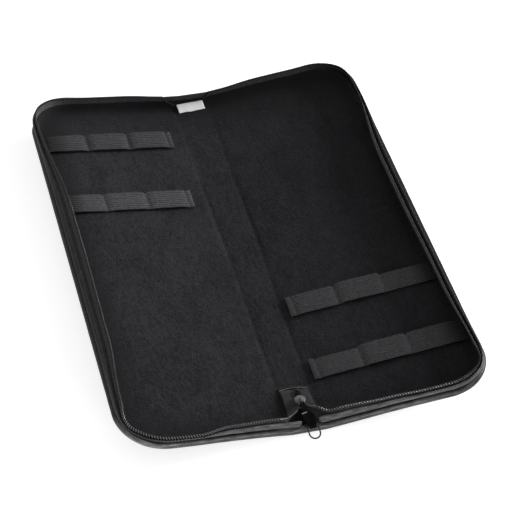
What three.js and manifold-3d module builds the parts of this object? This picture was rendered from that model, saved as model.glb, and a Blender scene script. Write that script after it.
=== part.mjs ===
// A zip-around hard case for chef's knives, lying open like a book.
//
// Millimetres, +Z up. X runs across the spine, +Y to the end with the sewn-in label. The origin
// is the middle of the spine's flat underside, which is what the open case rests on. Both halves
// are stiff trays that fold up about their creases, one on each side of the spine. Each half is
// drawn flat, by its reach out from the crease, its place along the case and its height above
// the underside, and its group then tilts it to the shallow V in which the open case lies.

import * as THREE from 'three';
import { mergeVertices } from 'three/addons/utils/BufferGeometryUtils.js';
import Module from 'manifold-3d';

const wasm = await Module();
wasm.setup();

// Overall sizes
const CASE_LENGTH = 471;
const HALF_WIDTH = 150;
const SPINE_WIDTH = 31;
const CORNER_RADIUS = 42;
const REST_FOLD = THREE.MathUtils.degToRad(7.5);

// Layers of the floor, from the outside in
const SEAT_GAP = 0.3;
const COVER_THICKNESS = 0.8;
const BOARD_THICKNESS = 1.4;
const LINING_THICKNESS = 0.8;
const BOARD_SET_BACK = 0.5;

// Wall of a half: a rolled edge, a stitched band, the woven zip tape and its coil
const ROLL_DIAMETER = 7;
const BAND_GAP = 2.8;
const BAND_HEIGHT = 5.5;
const BAND_THICKNESS = 2.4;
const BAND_SET_IN = 0.5;
const TAPE_BACK_GAP = 0.5;
const TAPE_THICKNESS = 0.7;
const COIL_WIDTH = 2.4;
const COIL_HEIGHT = 2.0;
const RIGID_WALL_START = 14;

// How far the rim leans inwards past its foot, station by station round the wall
const NEAR_CREASE_LEAN = 0.8;
const NEAR_MIDDLE_LEAN = -1.2;
const NEAR_EDGE_LEAN = -5.5;
const NEAR_CORNER_LEAN = -6;
const SIDE_NEAR_LEAN = 4.5;
const SIDE_QUARTER_LEAN = 9;
const SIDE_MIDDLE_LEAN = 10.2;
const SIDE_FAR_LEAN = -0.5;
const FAR_CORNER_LEAN = -4;
const FAR_MIDDLE_LEAN = -0.3;
const FAR_CREASE_LEAN = 3;
const LEAN_POWER = 1.5;

// Where those stations are, as shares of a straight edge's or of a side's length
const NEAR_EDGE_SHARE = 0.8;
const SIDE_QUARTER_SHARE = 0.2;
const SIDE_MIDDLE_SHARES = [0.5, 0.67];

// Elastic webbing, sewn down into three loops at each place
const WEBBING_WIDTH = 25;
const WEBBING_THICKNESS = 0.9;
const LOOP_RISE = 5.5;
const SEAM_WIDTH = 2;
const INNER_TACK = 5;
const WEBBING_OUTER_GAP = 0.8;

// Where each length of webbing lies along the case, as a share of its length from the near end
const LEFT_FAR_SHARE = 0.869;
const LEFT_MIDDLE_SHARE = 0.671;
const RIGHT_MIDDLE_SHARE = 0.317;
const RIGHT_NEAR_SHARE = 0.145;

// Where its inner end and its two seams lie across a half, as shares of the half's width
const LEFT_INNER_SHARE = 0.115;
const LEFT_SEAM_SHARES = [0.404, 0.671];
const RIGHT_INNER_SHARE = 0.027;
const RIGHT_SEAM_SHARES = [0.323, 0.617];

// Zip tail on the spine, its stop and the tab that binds its end
const TAIL_LEFT_GAP = 0.7;
const TAIL_RIGHT_GAP = 4.4;
const TAIL_MIDDLE = -1;
const TAIL_SLIT = 2.8;
const TAIL_HEIGHT = 6.5;
const TAIL_START = 22;
const TAIL_INNER_START = 29.8;
const TAIL_LEVEL_END = 45;
const TAIL_END = 49.2;
const TAB_LENGTH = 3;
const TAB_THICKNESS = 0.8;
const JOINED_COIL_WIDTH = 5.6;
const JOINED_COIL_HEIGHT = 1.9;
const JOINED_COIL_TOOTH = 1.1;
const STOP_LENGTH = 1.6;
const STOP_WIDTH = 6.4;
const STOP_HEIGHT = 2.4;
const TOOTH_PITCH = 1.5;
const TOOTH_WAIST_SHARE = 0.72;

// Slider, puller and ring
const SLIDER_SET_IN = 31;
const SLIDER_LENGTH = 11;
const SLIDER_WIDTH = 9.6;
const SLIDER_YAW = THREE.MathUtils.degToRad(4.4);
const SLIDER_MOUTH_WIDTH = 6;
const SLIDER_TRAVEL = 5;
const WING_THICKNESS = 1.1;
const POST_WIDTH = 1.6;
const POST_LENGTH = 2.4;
const POST_SET_IN = 1.3;
const FLANGE_THICKNESS = 0.8;
const FLANGE_LENGTH = 6;
const BRIDGE_LENGTH = 5.3;
const BRIDGE_WIDTH = 2.2;
const BRIDGE_HEIGHT = 3.9;
const BRIDGE_BAR = 1.2;
const BRIDGE_SET_IN = 0.9;
const PULLER_THICKNESS = 1.5;
const PULLER_WIDTH = 10;
const PULLER_NECK_WIDTH = 5.2;
const PULLER_NECK_END = 15.2;
const PULLER_SHOULDER = 17.4;
const PULLER_TAPER_START = 21;
const PULLER_END_WIDTH = 8;
const PULLER_REACH = 30.8;
const PULLER_EYE_WIDTH = 2.8;
const PULLER_EYE_REACH = 3.9;
const PULLER_BAR = 1.2;
const PULLER_WINDOW_WIDTH = 4.4;
const PULLER_WINDOW_LENGTH = 2.2;
const PULLER_SLOPE = THREE.MathUtils.degToRad(4);
const BARREL_DIAMETER = 3.2;
const BARREL_LENGTH = 6;
const BARREL_BORE = 1.9;
const RING_WIRE = 1.2;
const RING_WIDTH = 9.6;
const RING_LENGTH = 10.4;
const RING_BEND = 1.2;
const RING_DROP = THREE.MathUtils.degToRad(23);

// Far end of the spine
const FAR_TAPE_SIDE_GAP = 4.3;
const FAR_TAPE_TOP = 16.8;
const LABEL_WIDTH = 27;
const LABEL_LENGTH = 10;
const LABEL_THICKNESS = 0.5;
const LABEL_SET_IN = 7.4;
const LABEL_SET_LEFT = 1.2;
const LABEL_DROP = 4;

// Crossing ends of the zip, which bend over the creases
const NEAR_LEFT_BAND_END = 7;
const NEAR_RIGHT_BAND_END = 8;
const FAR_BAND_END = 0.3;
const MOUTH_SPREAD = 2.6;
const MOUTH_DEPTH = 2.9;
const FAR_COIL_SET_IN = 8.2;
const FAR_COIL_RISE = 4;
const FAR_FOOT_SET_IN = 5.2;
const COIL_TAPE_GAP = 1.8;
const CROSSING_GAP = 0.9;

// Shares of the way from the wall to the spine at which a crossing end is guided: across, along, down
const NEAR_LEFT_RIM_SHARES = [[0.33, 0.11, 0.32], [0.58, 0.31, 0.54], [0.83, 0.58, 0.8], [0.95, 0.8, 1]];
const NEAR_RIGHT_RIM_SHARES = [[0.37, 0.12, 0.22], [0.67, 0.45, 0.41], [0.8, 0.66, 0.75], [0.92, 0.84, 1]];
const NEAR_FOOT_SHARES = [[0.5, 0.21, 0.6], [0.8, 0.45, 0.85], [0.95, 0.7, 0.95]];
const FAR_RIM_SHARES = [[0.36, 0.2, 0.3], [0.68, 0.5, 0.6], [0.88, 0.8, 0.85]];
const FAR_FOOT_SHARES = [[0.4, 0.45, 0.6], [0.75, 0.8, 0.9]];

// Sizes that follow from the ones above
const TAIL_LEFT = TAIL_LEFT_GAP - SPINE_WIDTH / 2;
const TAIL_RIGHT = SPINE_WIDTH / 2 - TAIL_RIGHT_GAP;
const FAR_TAPE_WIDTH = SPINE_WIDTH - 2 * FAR_TAPE_SIDE_GAP;
const HINGE_HEIGHT = COVER_THICKNESS + BOARD_THICKNESS + LINING_THICKNESS + 2 * SEAT_GAP;
const RIM_HEIGHT = SPINE_WIDTH / 2 + HINGE_HEIGHT - SEAT_GAP;
const BAND_FOOT = ROLL_DIAMETER + BAND_GAP;
const TAPE_FOOT = ROLL_DIAMETER + SEAT_GAP;
const TAPE_SET_IN = BAND_SET_IN + BAND_THICKNESS + TAPE_BACK_GAP;
const TAPE_TOP = RIM_HEIGHT - COIL_HEIGHT - SEAT_GAP;
const FLOOR_SET_IN = ROLL_DIAMETER + SEAT_GAP;
const COVER_SET_IN = FLOOR_SET_IN - COVER_THICKNESS;
const NEAR_END = -CASE_LENGTH / 2;
const FAR_END = CASE_LENGTH / 2;
const TAPE_UNDER_COIL = TAIL_HEIGHT + TAPE_THICKNESS + SEAT_GAP;
const WING_LOWER_TOP = TAIL_HEIGHT - 2 * SEAT_GAP;
const WING_UPPER_FOOT = TAPE_UNDER_COIL + JOINED_COIL_HEIGHT + SEAT_GAP;
const BRIDGE_FOOT = WING_UPPER_FOOT + WING_THICKNESS;
const BRIDGE_Y = -SLIDER_LENGTH / 2 + BRIDGE_SET_IN + BRIDGE_LENGTH / 2;
const SLIDER_Y = NEAR_END + SLIDER_SET_IN;
const PIVOT_Z = BRIDGE_FOOT + (BRIDGE_HEIGHT - BRIDGE_BAR) / 2;
const TAIL_FLOOR = HINGE_HEIGHT + SEAT_GAP + TAB_THICKNESS + SEAT_GAP;

// Numbers of steps in the curved forms
const ROLL_SIDES = 10;
const BAND_SIDES = 8;
const COIL_SIDES = 6;
const EDGE_STEPS = 6;
const CORNER_STEPS = 10;
const SIDE_STEPS = 14;
const LOOP_STEPS = 10;
const CROSSING_STEPS = 16;
const TAPE_ROWS = 6;
const RING_STEPS = 32;
const WIRE_SIDES = 8;

// Finishes, as the colour, roughness and metalness of each stuff
const FINISHES = {
  leatherette: { color: 0x17181a, roughness: 0.38, metalness: 0 },
  felt: { color: 0x141415, roughness: 0.97, metalness: 0 },
  board: { color: 0x2a2a2c, roughness: 0.7, metalness: 0 },
  tape: { color: 0x1a1b1c, roughness: 0.85, metalness: 0 },
  coil: { color: 0x26282a, roughness: 0.4, metalness: 0 },
  webbing: { color: 0x2c2d2e, roughness: 0.9, metalness: 0 },
  label: { color: 0xe6e6e2, roughness: 0.7, metalness: 0 },
  slider: { color: 0x7b7c7e, roughness: 0.42, metalness: 0.6 },
  puller: { color: 0x1b1c1e, roughness: 0.4, metalness: 0.5 },
};

// Solids

// A geometry whose faces point outwards, turned round where its volume counts as negative.
function facingOut(geometry) {
  const position = geometry.getAttribute('position');
  const index = Array.from(geometry.getIndex().array);
  const [a, b, c] = [new THREE.Vector3(), new THREE.Vector3(), new THREE.Vector3()];
  let volume = 0;
  for (let face = 0; face < index.length; face += 3) {
    a.fromBufferAttribute(position, index[face]);
    b.fromBufferAttribute(position, index[face + 1]);
    c.fromBufferAttribute(position, index[face + 2]);
    volume += a.dot(b.cross(c));
  }
  if (volume < 0) {
    for (let face = 0; face < index.length; face += 3) {
      [index[face], index[face + 1]] = [index[face + 1], index[face]];
    }
  }
  geometry.setIndex(index);
  geometry.computeVertexNormals();
  return geometry;
}

// Triangles that fill a flat section, as numbers of its corners.
function sectionFaces(section) {
  const outline = section.map(([x, y]) => new THREE.Vector2(x, y));
  return THREE.ShapeUtils.triangulateShape(outline, []);
}

// A solid through rings of equal count. With faces for its ends it is capped, without them the
// last ring joins the first and the solid closes on itself.
function loft(rings, endFaces) {
  const count = rings[0].length;
  const index = [];
  const spans = endFaces ? rings.length - 1 : rings.length;
  for (let ring = 0; ring < spans; ring += 1) {
    const here = ring * count;
    const next = ((ring + 1) % rings.length) * count;
    for (let corner = 0; corner < count; corner += 1) {
      const beside = (corner + 1) % count;
      index.push(here + corner, here + beside, next + corner);
      index.push(here + beside, next + beside, next + corner);
    }
  }
  const last = (rings.length - 1) * count;
  for (const [a, b, c] of endFaces ?? []) {
    index.push(a, c, b, last + a, last + b, last + c);
  }
  const geometry = new THREE.BufferGeometry();
  geometry.setAttribute('position', new THREE.Float32BufferAttribute(rings.flat(2), 3));
  geometry.setIndex(index);
  return facingOut(geometry);
}

// A three.js geometry as a solid for cutting and joining.
function solidOf(geometry) {
  const bare = new THREE.BufferGeometry();
  bare.setAttribute('position', geometry.getAttribute('position').clone());
  if (geometry.getIndex()) {
    bare.setIndex(geometry.getIndex().clone());
  }
  const merged = mergeVertices(bare);
  return new wasm.Manifold(new wasm.Mesh({
    numProp: 3,
    vertProperties: new Float32Array(merged.getAttribute('position').array),
    triVerts: new Uint32Array(merged.getIndex().array),
  }));
}

// The geometry of a cut or joined solid.
function geometryOf(solid) {
  const mesh = solid.getMesh();
  const geometry = new THREE.BufferGeometry();
  geometry.setAttribute('position', new THREE.Float32BufferAttribute(mesh.vertProperties, 3));
  geometry.setIndex(Array.from(mesh.triVerts));
  geometry.computeVertexNormals();
  return geometry;
}

// A box between two corners, as a solid for joining.
function block(low, high) {
  const size = high.map((value, axis) => value - low[axis]);
  const middle = high.map((value, axis) => (value + low[axis]) / 2);
  return solidOf(new THREE.BoxGeometry(...size).translate(...middle));
}

// An outline pushed up from one height to another.
function plate(shape, foot, thickness, curveSegments = CORNER_STEPS) {
  const geometry = new THREE.ExtrudeGeometry(shape, { depth: thickness, bevelEnabled: false, curveSegments });
  return geometry.translate(0, 0, foot);
}

// Sections

// A rounded section, as inset and height pairs. At a fullness of 1 it is an ellipse, and above
// 1 it fills its box more.
function roundedSection(inset, height, thickness, tall, sides, fullness = 1) {
  return Array.from({ length: sides }, (_, corner) => {
    const angle = ((corner + 0.5) / sides) * 2 * Math.PI;
    const [across, up] = [Math.cos(angle), Math.sin(angle)];
    const reach = Math.hypot(across, up) / (Math.abs(across) ** (2 * fullness) + Math.abs(up) ** (2 * fullness)) ** (1 / (2 * fullness));
    return [inset + (across * reach * thickness) / 2, height + (up * reach * tall) / 2];
  });
}

const ROLL_SECTION = roundedSection(ROLL_DIAMETER / 2, ROLL_DIAMETER / 2, ROLL_DIAMETER, ROLL_DIAMETER, ROLL_SIDES);
const BAND_SECTION = roundedSection(
  BAND_SET_IN + BAND_THICKNESS / 2, BAND_FOOT + BAND_HEIGHT / 2, BAND_THICKNESS, BAND_HEIGHT, BAND_SIDES, 1.6,
);
const TAPE_HEIGHTS = Array.from({ length: TAPE_ROWS }, (_, row) => (
  TAPE_FOOT + ((TAPE_TOP - TAPE_FOOT) * row) / (TAPE_ROWS - 1)
));
const TAPE_SECTION = [
  ...TAPE_HEIGHTS.map((height) => [TAPE_SET_IN + TAPE_THICKNESS, height]),
  ...TAPE_HEIGHTS.map((height) => [TAPE_SET_IN, height]).reverse(),
];
const COIL_SECTION = roundedSection(
  TAPE_SET_IN + TAPE_THICKNESS / 2, RIM_HEIGHT - COIL_HEIGHT / 2, COIL_WIDTH, COIL_HEIGHT, COIL_SIDES,
);

// The wall of a half

const EDGE_RUN = HALF_WIDTH - CORNER_RADIUS;
const ARC_RUN = (CORNER_RADIUS * Math.PI) / 2;
const SIDE_RUN = CASE_LENGTH - 2 * CORNER_RADIUS;
const FULL_RUN = 2 * EDGE_RUN + 2 * ARC_RUN + SIDE_RUN;

const SIDE_START = EDGE_RUN + ARC_RUN;
const SIDE_END = SIDE_START + SIDE_RUN;
const LEAN_KNOTS = [
  [RIGID_WALL_START, NEAR_CREASE_LEAN],
  [EDGE_RUN / 2, NEAR_MIDDLE_LEAN],
  [EDGE_RUN * NEAR_EDGE_SHARE, NEAR_EDGE_LEAN],
  [EDGE_RUN + ARC_RUN / 2, NEAR_CORNER_LEAN],
  [SIDE_START, SIDE_NEAR_LEAN],
  [SIDE_START + SIDE_RUN * SIDE_QUARTER_SHARE, SIDE_QUARTER_LEAN],
  ...SIDE_MIDDLE_SHARES.map((share) => [SIDE_START + SIDE_RUN * share, SIDE_MIDDLE_LEAN]),
  [SIDE_END, SIDE_FAR_LEAN],
  [SIDE_END + ARC_RUN / 2, FAR_CORNER_LEAN],
  [FULL_RUN - EDGE_RUN * NEAR_EDGE_SHARE, FAR_MIDDLE_LEAN],
  [FULL_RUN - EDGE_RUN / 2, FAR_MIDDLE_LEAN],
  [FULL_RUN - RIGID_WALL_START, FAR_CREASE_LEAN],
];

// The rim's lean at a run along the outline from the near crease, eased from knot to knot.
function leanAt(run) {
  const [first, last] = [LEAN_KNOTS[0], LEAN_KNOTS[LEAN_KNOTS.length - 1]];
  if (run <= first[0]) {
    return first[1];
  }
  if (run >= last[0]) {
    return last[1];
  }
  const next = LEAN_KNOTS.findIndex(([place]) => place > run);
  const [[from, leanFrom], [to, leanTo]] = [LEAN_KNOTS[next - 1], LEAN_KNOTS[next]];
  const share = (1 - Math.cos((Math.PI * (run - from)) / (to - from))) / 2;
  return leanFrom + (leanTo - leanFrom) * share;
}

// The part of the lean that a height has taken up: none at the rolled edge, all at the rim.
function leanShare(height) {
  return (Math.max(0, height - ROLL_DIAMETER) / (RIM_HEIGHT - ROLL_DIAMETER)) ** LEAN_POWER;
}

// Stations round the outline of a half: a point, the way inwards, and the run to it.
function outlineStations(start) {
  const centreReach = HALF_WIDTH - CORNER_RADIUS;
  const centreAlong = CASE_LENGTH / 2 - CORNER_RADIUS;
  const stations = [];
  for (let step = 0; step < EDGE_STEPS; step += 1) {
    const reach = start + ((centreReach - start) * step) / EDGE_STEPS;
    stations.push({ point: [reach, NEAR_END], inward: [0, 1], run: reach });
  }
  for (let step = 0; step < CORNER_STEPS; step += 1) {
    const turn = ((step / CORNER_STEPS - 1) * Math.PI) / 2;
    const outward = [Math.cos(turn), Math.sin(turn)];
    stations.push({
      point: [centreReach + CORNER_RADIUS * outward[0], -centreAlong + CORNER_RADIUS * outward[1]],
      inward: [-outward[0], -outward[1]],
      run: EDGE_RUN + (ARC_RUN * step) / CORNER_STEPS,
    });
  }
  for (let step = 0; step < SIDE_STEPS; step += 1) {
    const along = -centreAlong + (SIDE_RUN * step) / SIDE_STEPS;
    stations.push({ point: [HALF_WIDTH, along], inward: [-1, 0], run: EDGE_RUN + ARC_RUN + along + centreAlong });
  }
  for (let step = 0; step < CORNER_STEPS; step += 1) {
    const turn = ((step / CORNER_STEPS) * Math.PI) / 2;
    const outward = [Math.cos(turn), Math.sin(turn)];
    stations.push({
      point: [centreReach + CORNER_RADIUS * outward[0], centreAlong + CORNER_RADIUS * outward[1]],
      inward: [-outward[0], -outward[1]],
      run: EDGE_RUN + ARC_RUN + SIDE_RUN + (ARC_RUN * step) / CORNER_STEPS,
    });
  }
  for (let step = 0; step <= EDGE_STEPS; step += 1) {
    const reach = centreReach + ((start - centreReach) * step) / EDGE_STEPS;
    stations.push({ point: [reach, FAR_END], inward: [0, -1], run: FULL_RUN - reach });
  }
  return stations;
}

// One section set at a station, in the half's own group.
function wallRing(side, station, section) {
  const lean = leanAt(station.run);
  return section.map(([inset, height]) => {
    const depth = inset + lean * leanShare(height);
    return [
      side * (station.point[0] + station.inward[0] * depth),
      station.point[1] + station.inward[1] * depth,
      height - HINGE_HEIGHT,
    ];
  });
}

// A strip of the wall, from the crease side of the near edge round to that of the far edge.
function wallStrip(side, section) {
  const rings = outlineStations(RIGID_WALL_START).map((station) => wallRing(side, station, section));
  return loft(rings, sectionFaces(section));
}

// How far a rolled edge is cut back from the crease at a height, so that the fold can close.
function mitre(height) {
  return SEAT_GAP / 2 + Math.max(0, height - HINGE_HEIGHT);
}

// The rolled edge of a half, mitred at both creases.
function baseRoll(side) {
  const rings = outlineStations(ROLL_DIAMETER).map((station) => wallRing(side, station, ROLL_SECTION));
  const endRing = (along, inward) => ROLL_SECTION.map(([inset, height]) => [
    side * mitre(height), along + inward * inset, height - HINGE_HEIGHT,
  ]);
  return loft([endRing(NEAR_END, 1), ...rings, endRing(FAR_END, -1)], sectionFaces(ROLL_SECTION));
}

// The rolled edge that runs on across one end of the spine.
function spineRoll(along, inward) {
  const ring = (side) => ROLL_SECTION.map(([inset, height]) => [
    side * (SPINE_WIDTH / 2 - mitre(height)), along + inward * inset, height,
  ]);
  return loft([ring(-1), ring(1)], sectionFaces(ROLL_SECTION));
}

// The flat layers of a half

// The outline of a floor layer, from its edge at the crease to its rounded outer corners.
function floorShape(side, creaseGap, setIn) {
  const radius = CORNER_RADIUS - setIn;
  const reach = HALF_WIDTH - setIn;
  const along = CASE_LENGTH / 2 - setIn;
  const shape = new THREE.Shape();
  shape.moveTo(side * creaseGap, -along);
  shape.lineTo(side * (reach - radius), -along);
  shape.absarc(side * (reach - radius), -along + radius, radius, -Math.PI / 2, side > 0 ? 0 : -Math.PI, side < 0);
  shape.lineTo(side * reach, along - radius);
  shape.absarc(side * (reach - radius), along - radius, radius, side > 0 ? 0 : Math.PI, Math.PI / 2, side < 0);
  shape.lineTo(side * creaseGap, along);
  shape.closePath();
  return shape;
}

function halfCover(side) {
  return plate(floorShape(side, SEAT_GAP / 2, COVER_SET_IN), -HINGE_HEIGHT, COVER_THICKNESS);
}

function halfBoard(side) {
  const foot = COVER_THICKNESS + SEAT_GAP - HINGE_HEIGHT;
  return plate(floorShape(side, SEAT_GAP / 2 + BOARD_SET_BACK, FLOOR_SET_IN), foot, BOARD_THICKNESS);
}

function halfLining(side) {
  return plate(floorShape(side, SEAT_GAP / 2, FLOOR_SET_IN), -LINING_THICKNESS, LINING_THICKNESS);
}

// Elastic loops

// Heights of the webbing's underside above the lining, along its length: flat at the tack and
// the seams, and in each loop a low arch, 1 minus the fourth power of the way from its middle.
function webbingUnderside(innerShare, seamShares) {
  const outer = HALF_WIDTH - FLOOR_SET_IN - WEBBING_OUTER_GAP;
  const inner = HALF_WIDTH * innerShare;
  const seams = seamShares.map((share) => HALF_WIDTH * share);
  const starts = [inner + INNER_TACK, ...seams.map((seam) => seam + SEAM_WIDTH / 2)];
  const ends = [...seams.map((seam) => seam - SEAM_WIDTH / 2), outer - SEAM_WIDTH];
  const line = [[inner, SEAT_GAP]];
  starts.forEach((start, loop) => {
    for (let step = 0; step <= LOOP_STEPS; step += 1) {
      const share = (1 - Math.cos((Math.PI * step) / LOOP_STEPS)) / 2;
      const reach = start + (ends[loop] - start) * share;
      line.push([reach, SEAT_GAP + LOOP_RISE * (1 - (2 * share - 1) ** 4)]);
    }
  });
  line.push([outer, SEAT_GAP]);
  return line;
}

// A length of webbing across a half, its middle at a share of the case's length.
function elasticWebbing(side, alongShare) {
  const underside = side < 0
    ? webbingUnderside(LEFT_INNER_SHARE, LEFT_SEAM_SHARES)
    : webbingUnderside(RIGHT_INNER_SHARE, RIGHT_SEAM_SHARES);
  const topside = underside.map(([reach, height]) => [reach, height + WEBBING_THICKNESS]).reverse();
  const section = [...underside, ...topside];
  const ring = (along) => section.map(([reach, height]) => [side * reach, along, height]);
  const middle = NEAR_END + CASE_LENGTH * alongShare;
  return loft([ring(middle - WEBBING_WIDTH / 2), ring(middle + WEBBING_WIDTH / 2)], sectionFaces(section));
}

// Crossing ends: the band, tape and coil where they leave the wall and bend over the crease

// A place on a half, as it lies at rest.
function restPlace(side, reach, along, height) {
  const [cos, sin] = [Math.cos(REST_FOLD), Math.sin(REST_FOLD)];
  const up = height - HINGE_HEIGHT;
  return new THREE.Vector3(
    side * (SPINE_WIDTH / 2 + reach * cos - up * sin), along, HINGE_HEIGHT + reach * sin + up * cos,
  );
}

// A place on the end of a wall, where its rigid part stops.
function wallEnd(side, end, inset, height) {
  const near = end < 0;
  const lean = near ? NEAR_CREASE_LEAN : FAR_CREASE_LEAN;
  const depth = inset + lean * leanShare(height);
  return restPlace(side, RIGID_WALL_START - CROSSING_GAP, near ? NEAR_END + depth : FAR_END - depth, height);
}

// A smooth line from a start to an end, guided by shares of the way across, along and down.
function guided(start, end, shares) {
  const between = shares.map(([across, along, down]) => new THREE.Vector3(
    start.x + (end.x - start.x) * across,
    start.y + (end.y - start.y) * along,
    start.z + (end.z - start.z) * down,
  ));
  return new THREE.CatmullRomCurve3([start, ...between, end], false, 'centripetal');
}

// The line of the coil over the crease, into the slider's mouth or down to the label's corner.
function rimLine(side, end) {
  const start = wallEnd(side, end, TAPE_SET_IN + TAPE_THICKNESS / 2, RIM_HEIGHT - COIL_HEIGHT / 2);
  if (end < 0) {
    const mouth = SLIDER_Y - SLIDER_LENGTH / 2 + MOUTH_DEPTH;
    const height = TAPE_UNDER_COIL + JOINED_COIL_HEIGHT / 2;
    const centre = TAIL_MIDDLE + (SLIDER_Y - mouth) * Math.sin(SLIDER_YAW);
    const last = new THREE.Vector3(centre + side * MOUTH_SPREAD, mouth, height);
    return guided(start, last, side < 0 ? NEAR_LEFT_RIM_SHARES : NEAR_RIGHT_RIM_SHARES);
  }
  const labelSide = side * (LABEL_WIDTH / 2 + COIL_WIDTH) - LABEL_SET_LEFT;
  const height = TAIL_FLOOR + FAR_COIL_RISE;
  return guided(start, new THREE.Vector3(labelSide, FAR_END - FAR_COIL_SET_IN, height), FAR_RIM_SHARES);
}

// The line of the tape's foot over the crease.
function footLine(side, end) {
  const start = wallEnd(side, end, TAPE_SET_IN + TAPE_THICKNESS / 2, TAPE_FOOT);
  if (end < 0) {
    const height = TAIL_HEIGHT + TAPE_THICKNESS / 2;
    const corner = side < 0 ? TAIL_LEFT : TAIL_RIGHT;
    return guided(start, new THREE.Vector3(corner, NEAR_END + TAIL_START - 2 * SEAT_GAP, height), NEAR_FOOT_SHARES);
  }
  const last = new THREE.Vector3(side * (FAR_TAPE_WIDTH / 2 + SEAT_GAP), FAR_END - FAR_FOOT_SET_IN, TAPE_FOOT);
  return guided(start, last, FAR_FOOT_SHARES);
}

// A tooth-ribbed coil along its line: its section swells and narrows once a tooth.
function coilEnd(side, end) {
  const line = rimLine(side, end);
  const ribs = 2 * Math.round(line.getLength() / TOOTH_PITCH);
  const rings = [];
  for (let rib = 0; rib <= ribs; rib += 1) {
    const centre = line.getPointAt(rib / ribs);
    const ahead = line.getTangentAt(rib / ribs);
    const across = new THREE.Vector3(0, 0, 1).cross(ahead).normalize();
    const up = new THREE.Vector3().crossVectors(ahead, across);
    const fullness = rib % 2 ? TOOTH_WAIST_SHARE : 1;
    rings.push(roundedSection(0, 0, COIL_WIDTH * fullness, COIL_HEIGHT * fullness, COIL_SIDES).map(([a, b]) => (
      centre.clone().addScaledVector(across, a).addScaledVector(up, b).toArray()
    )));
  }
  return loft(rings, sectionFaces(roundedSection(0, 0, COIL_WIDTH, COIL_HEIGHT, COIL_SIDES)));
}

// The tape between the coil's line and its foot's, a ruled strip of even thickness.
function tapeEnd(side, end) {
  const [rim, foot] = [rimLine(side, end), footLine(side, end)];
  const rings = [];
  for (let step = 0; step <= CROSSING_STEPS; step += 1) {
    const share = step / CROSSING_STEPS;
    const [coilPoint, low] = [rim.getPointAt(share), foot.getPointAt(share)];
    const down = low.clone().sub(coilPoint).normalize();
    const high = coilPoint.clone().addScaledVector(down, COIL_WIDTH / 2 + COIL_TAPE_GAP);
    const ahead = rim.getTangentAt(share).add(foot.getTangentAt(share)).normalize();
    const out = new THREE.Vector3().crossVectors(ahead, down).normalize().multiplyScalar(TAPE_THICKNESS / 2);
    rings.push([
      high.clone().add(out).toArray(),
      low.clone().add(out).toArray(),
      low.clone().sub(out).toArray(),
      high.clone().sub(out).toArray(),
    ]);
  }
  return loft(rings, [[0, 1, 2], [0, 2, 3]]);
}

// The rolled band over the crease, to the puller at the near end and to the middle at the far end.
function bandEnd(side, end) {
  const near = end < 0;
  const lean = near ? NEAR_CREASE_LEAN : FAR_CREASE_LEAN;
  const nearStop = side < 0 ? NEAR_LEFT_BAND_END : NEAR_RIGHT_BAND_END;
  const stop = near ? nearStop : FAR_BAND_END;
  const place = (inset, height) => {
    const depth = inset + lean * leanShare(height);
    return near ? NEAR_END + depth : FAR_END - depth;
  };
  const onHalf = (reach) => BAND_SECTION.map(([inset, height]) => (
    restPlace(side, reach, place(inset, height), height).toArray()
  ));
  const onSpine = (across) => BAND_SECTION.map(([inset, height]) => [side * across, place(inset, height), height]);
  const rings = [
    onHalf(RIGID_WALL_START - SEAT_GAP),
    onHalf(RIGID_WALL_START / 2),
    onSpine((SPINE_WIDTH - RIGID_WALL_START) / 2 + SEAT_GAP),
    onSpine(stop),
  ];
  return loft(rings, sectionFaces(BAND_SECTION));
}

// The spine

// A flat layer of the spine, from a foot height, set back from the creases and from the ends.
function spineLayer(creaseGap, endGap, foot, thickness) {
  const geometry = new THREE.BoxGeometry(SPINE_WIDTH - 2 * creaseGap, CASE_LENGTH - 2 * endGap, thickness);
  return geometry.translate(0, 0, foot + thickness / 2);
}

// A sheet across the spine, from its side view of distances from the near end and heights.
function spineSheet(left, right, sideView) {
  const ring = (x) => sideView.map(([fromNearEnd, height]) => [x, NEAR_END + fromNearEnd, height]);
  return loft([ring(left), ring(right)], sectionFaces(sideView));
}

// One tape of the zip tail: slanted where the coil leaves it for the slider's mouth, level under
// the slider, then down to the lining.
function tailTape(side) {
  const ring = (x, start) => {
    const underside = [[start, TAIL_HEIGHT], [TAIL_LEVEL_END, TAIL_HEIGHT], [TAIL_END, TAIL_FLOOR]];
    const topside = underside.map(([along, height]) => [along, height + TAPE_THICKNESS]).reverse();
    return [...underside, ...topside].map(([along, height]) => [x, NEAR_END + along, height]);
  };
  const inner = TAIL_MIDDLE + (side * TAIL_SLIT) / 2;
  return loft([ring(inner, TAIL_INNER_START), ring(side < 0 ? TAIL_LEFT : TAIL_RIGHT, TAIL_START)], [
    [0, 1, 4], [0, 4, 5], [1, 2, 3], [1, 3, 4],
  ]);
}

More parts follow.
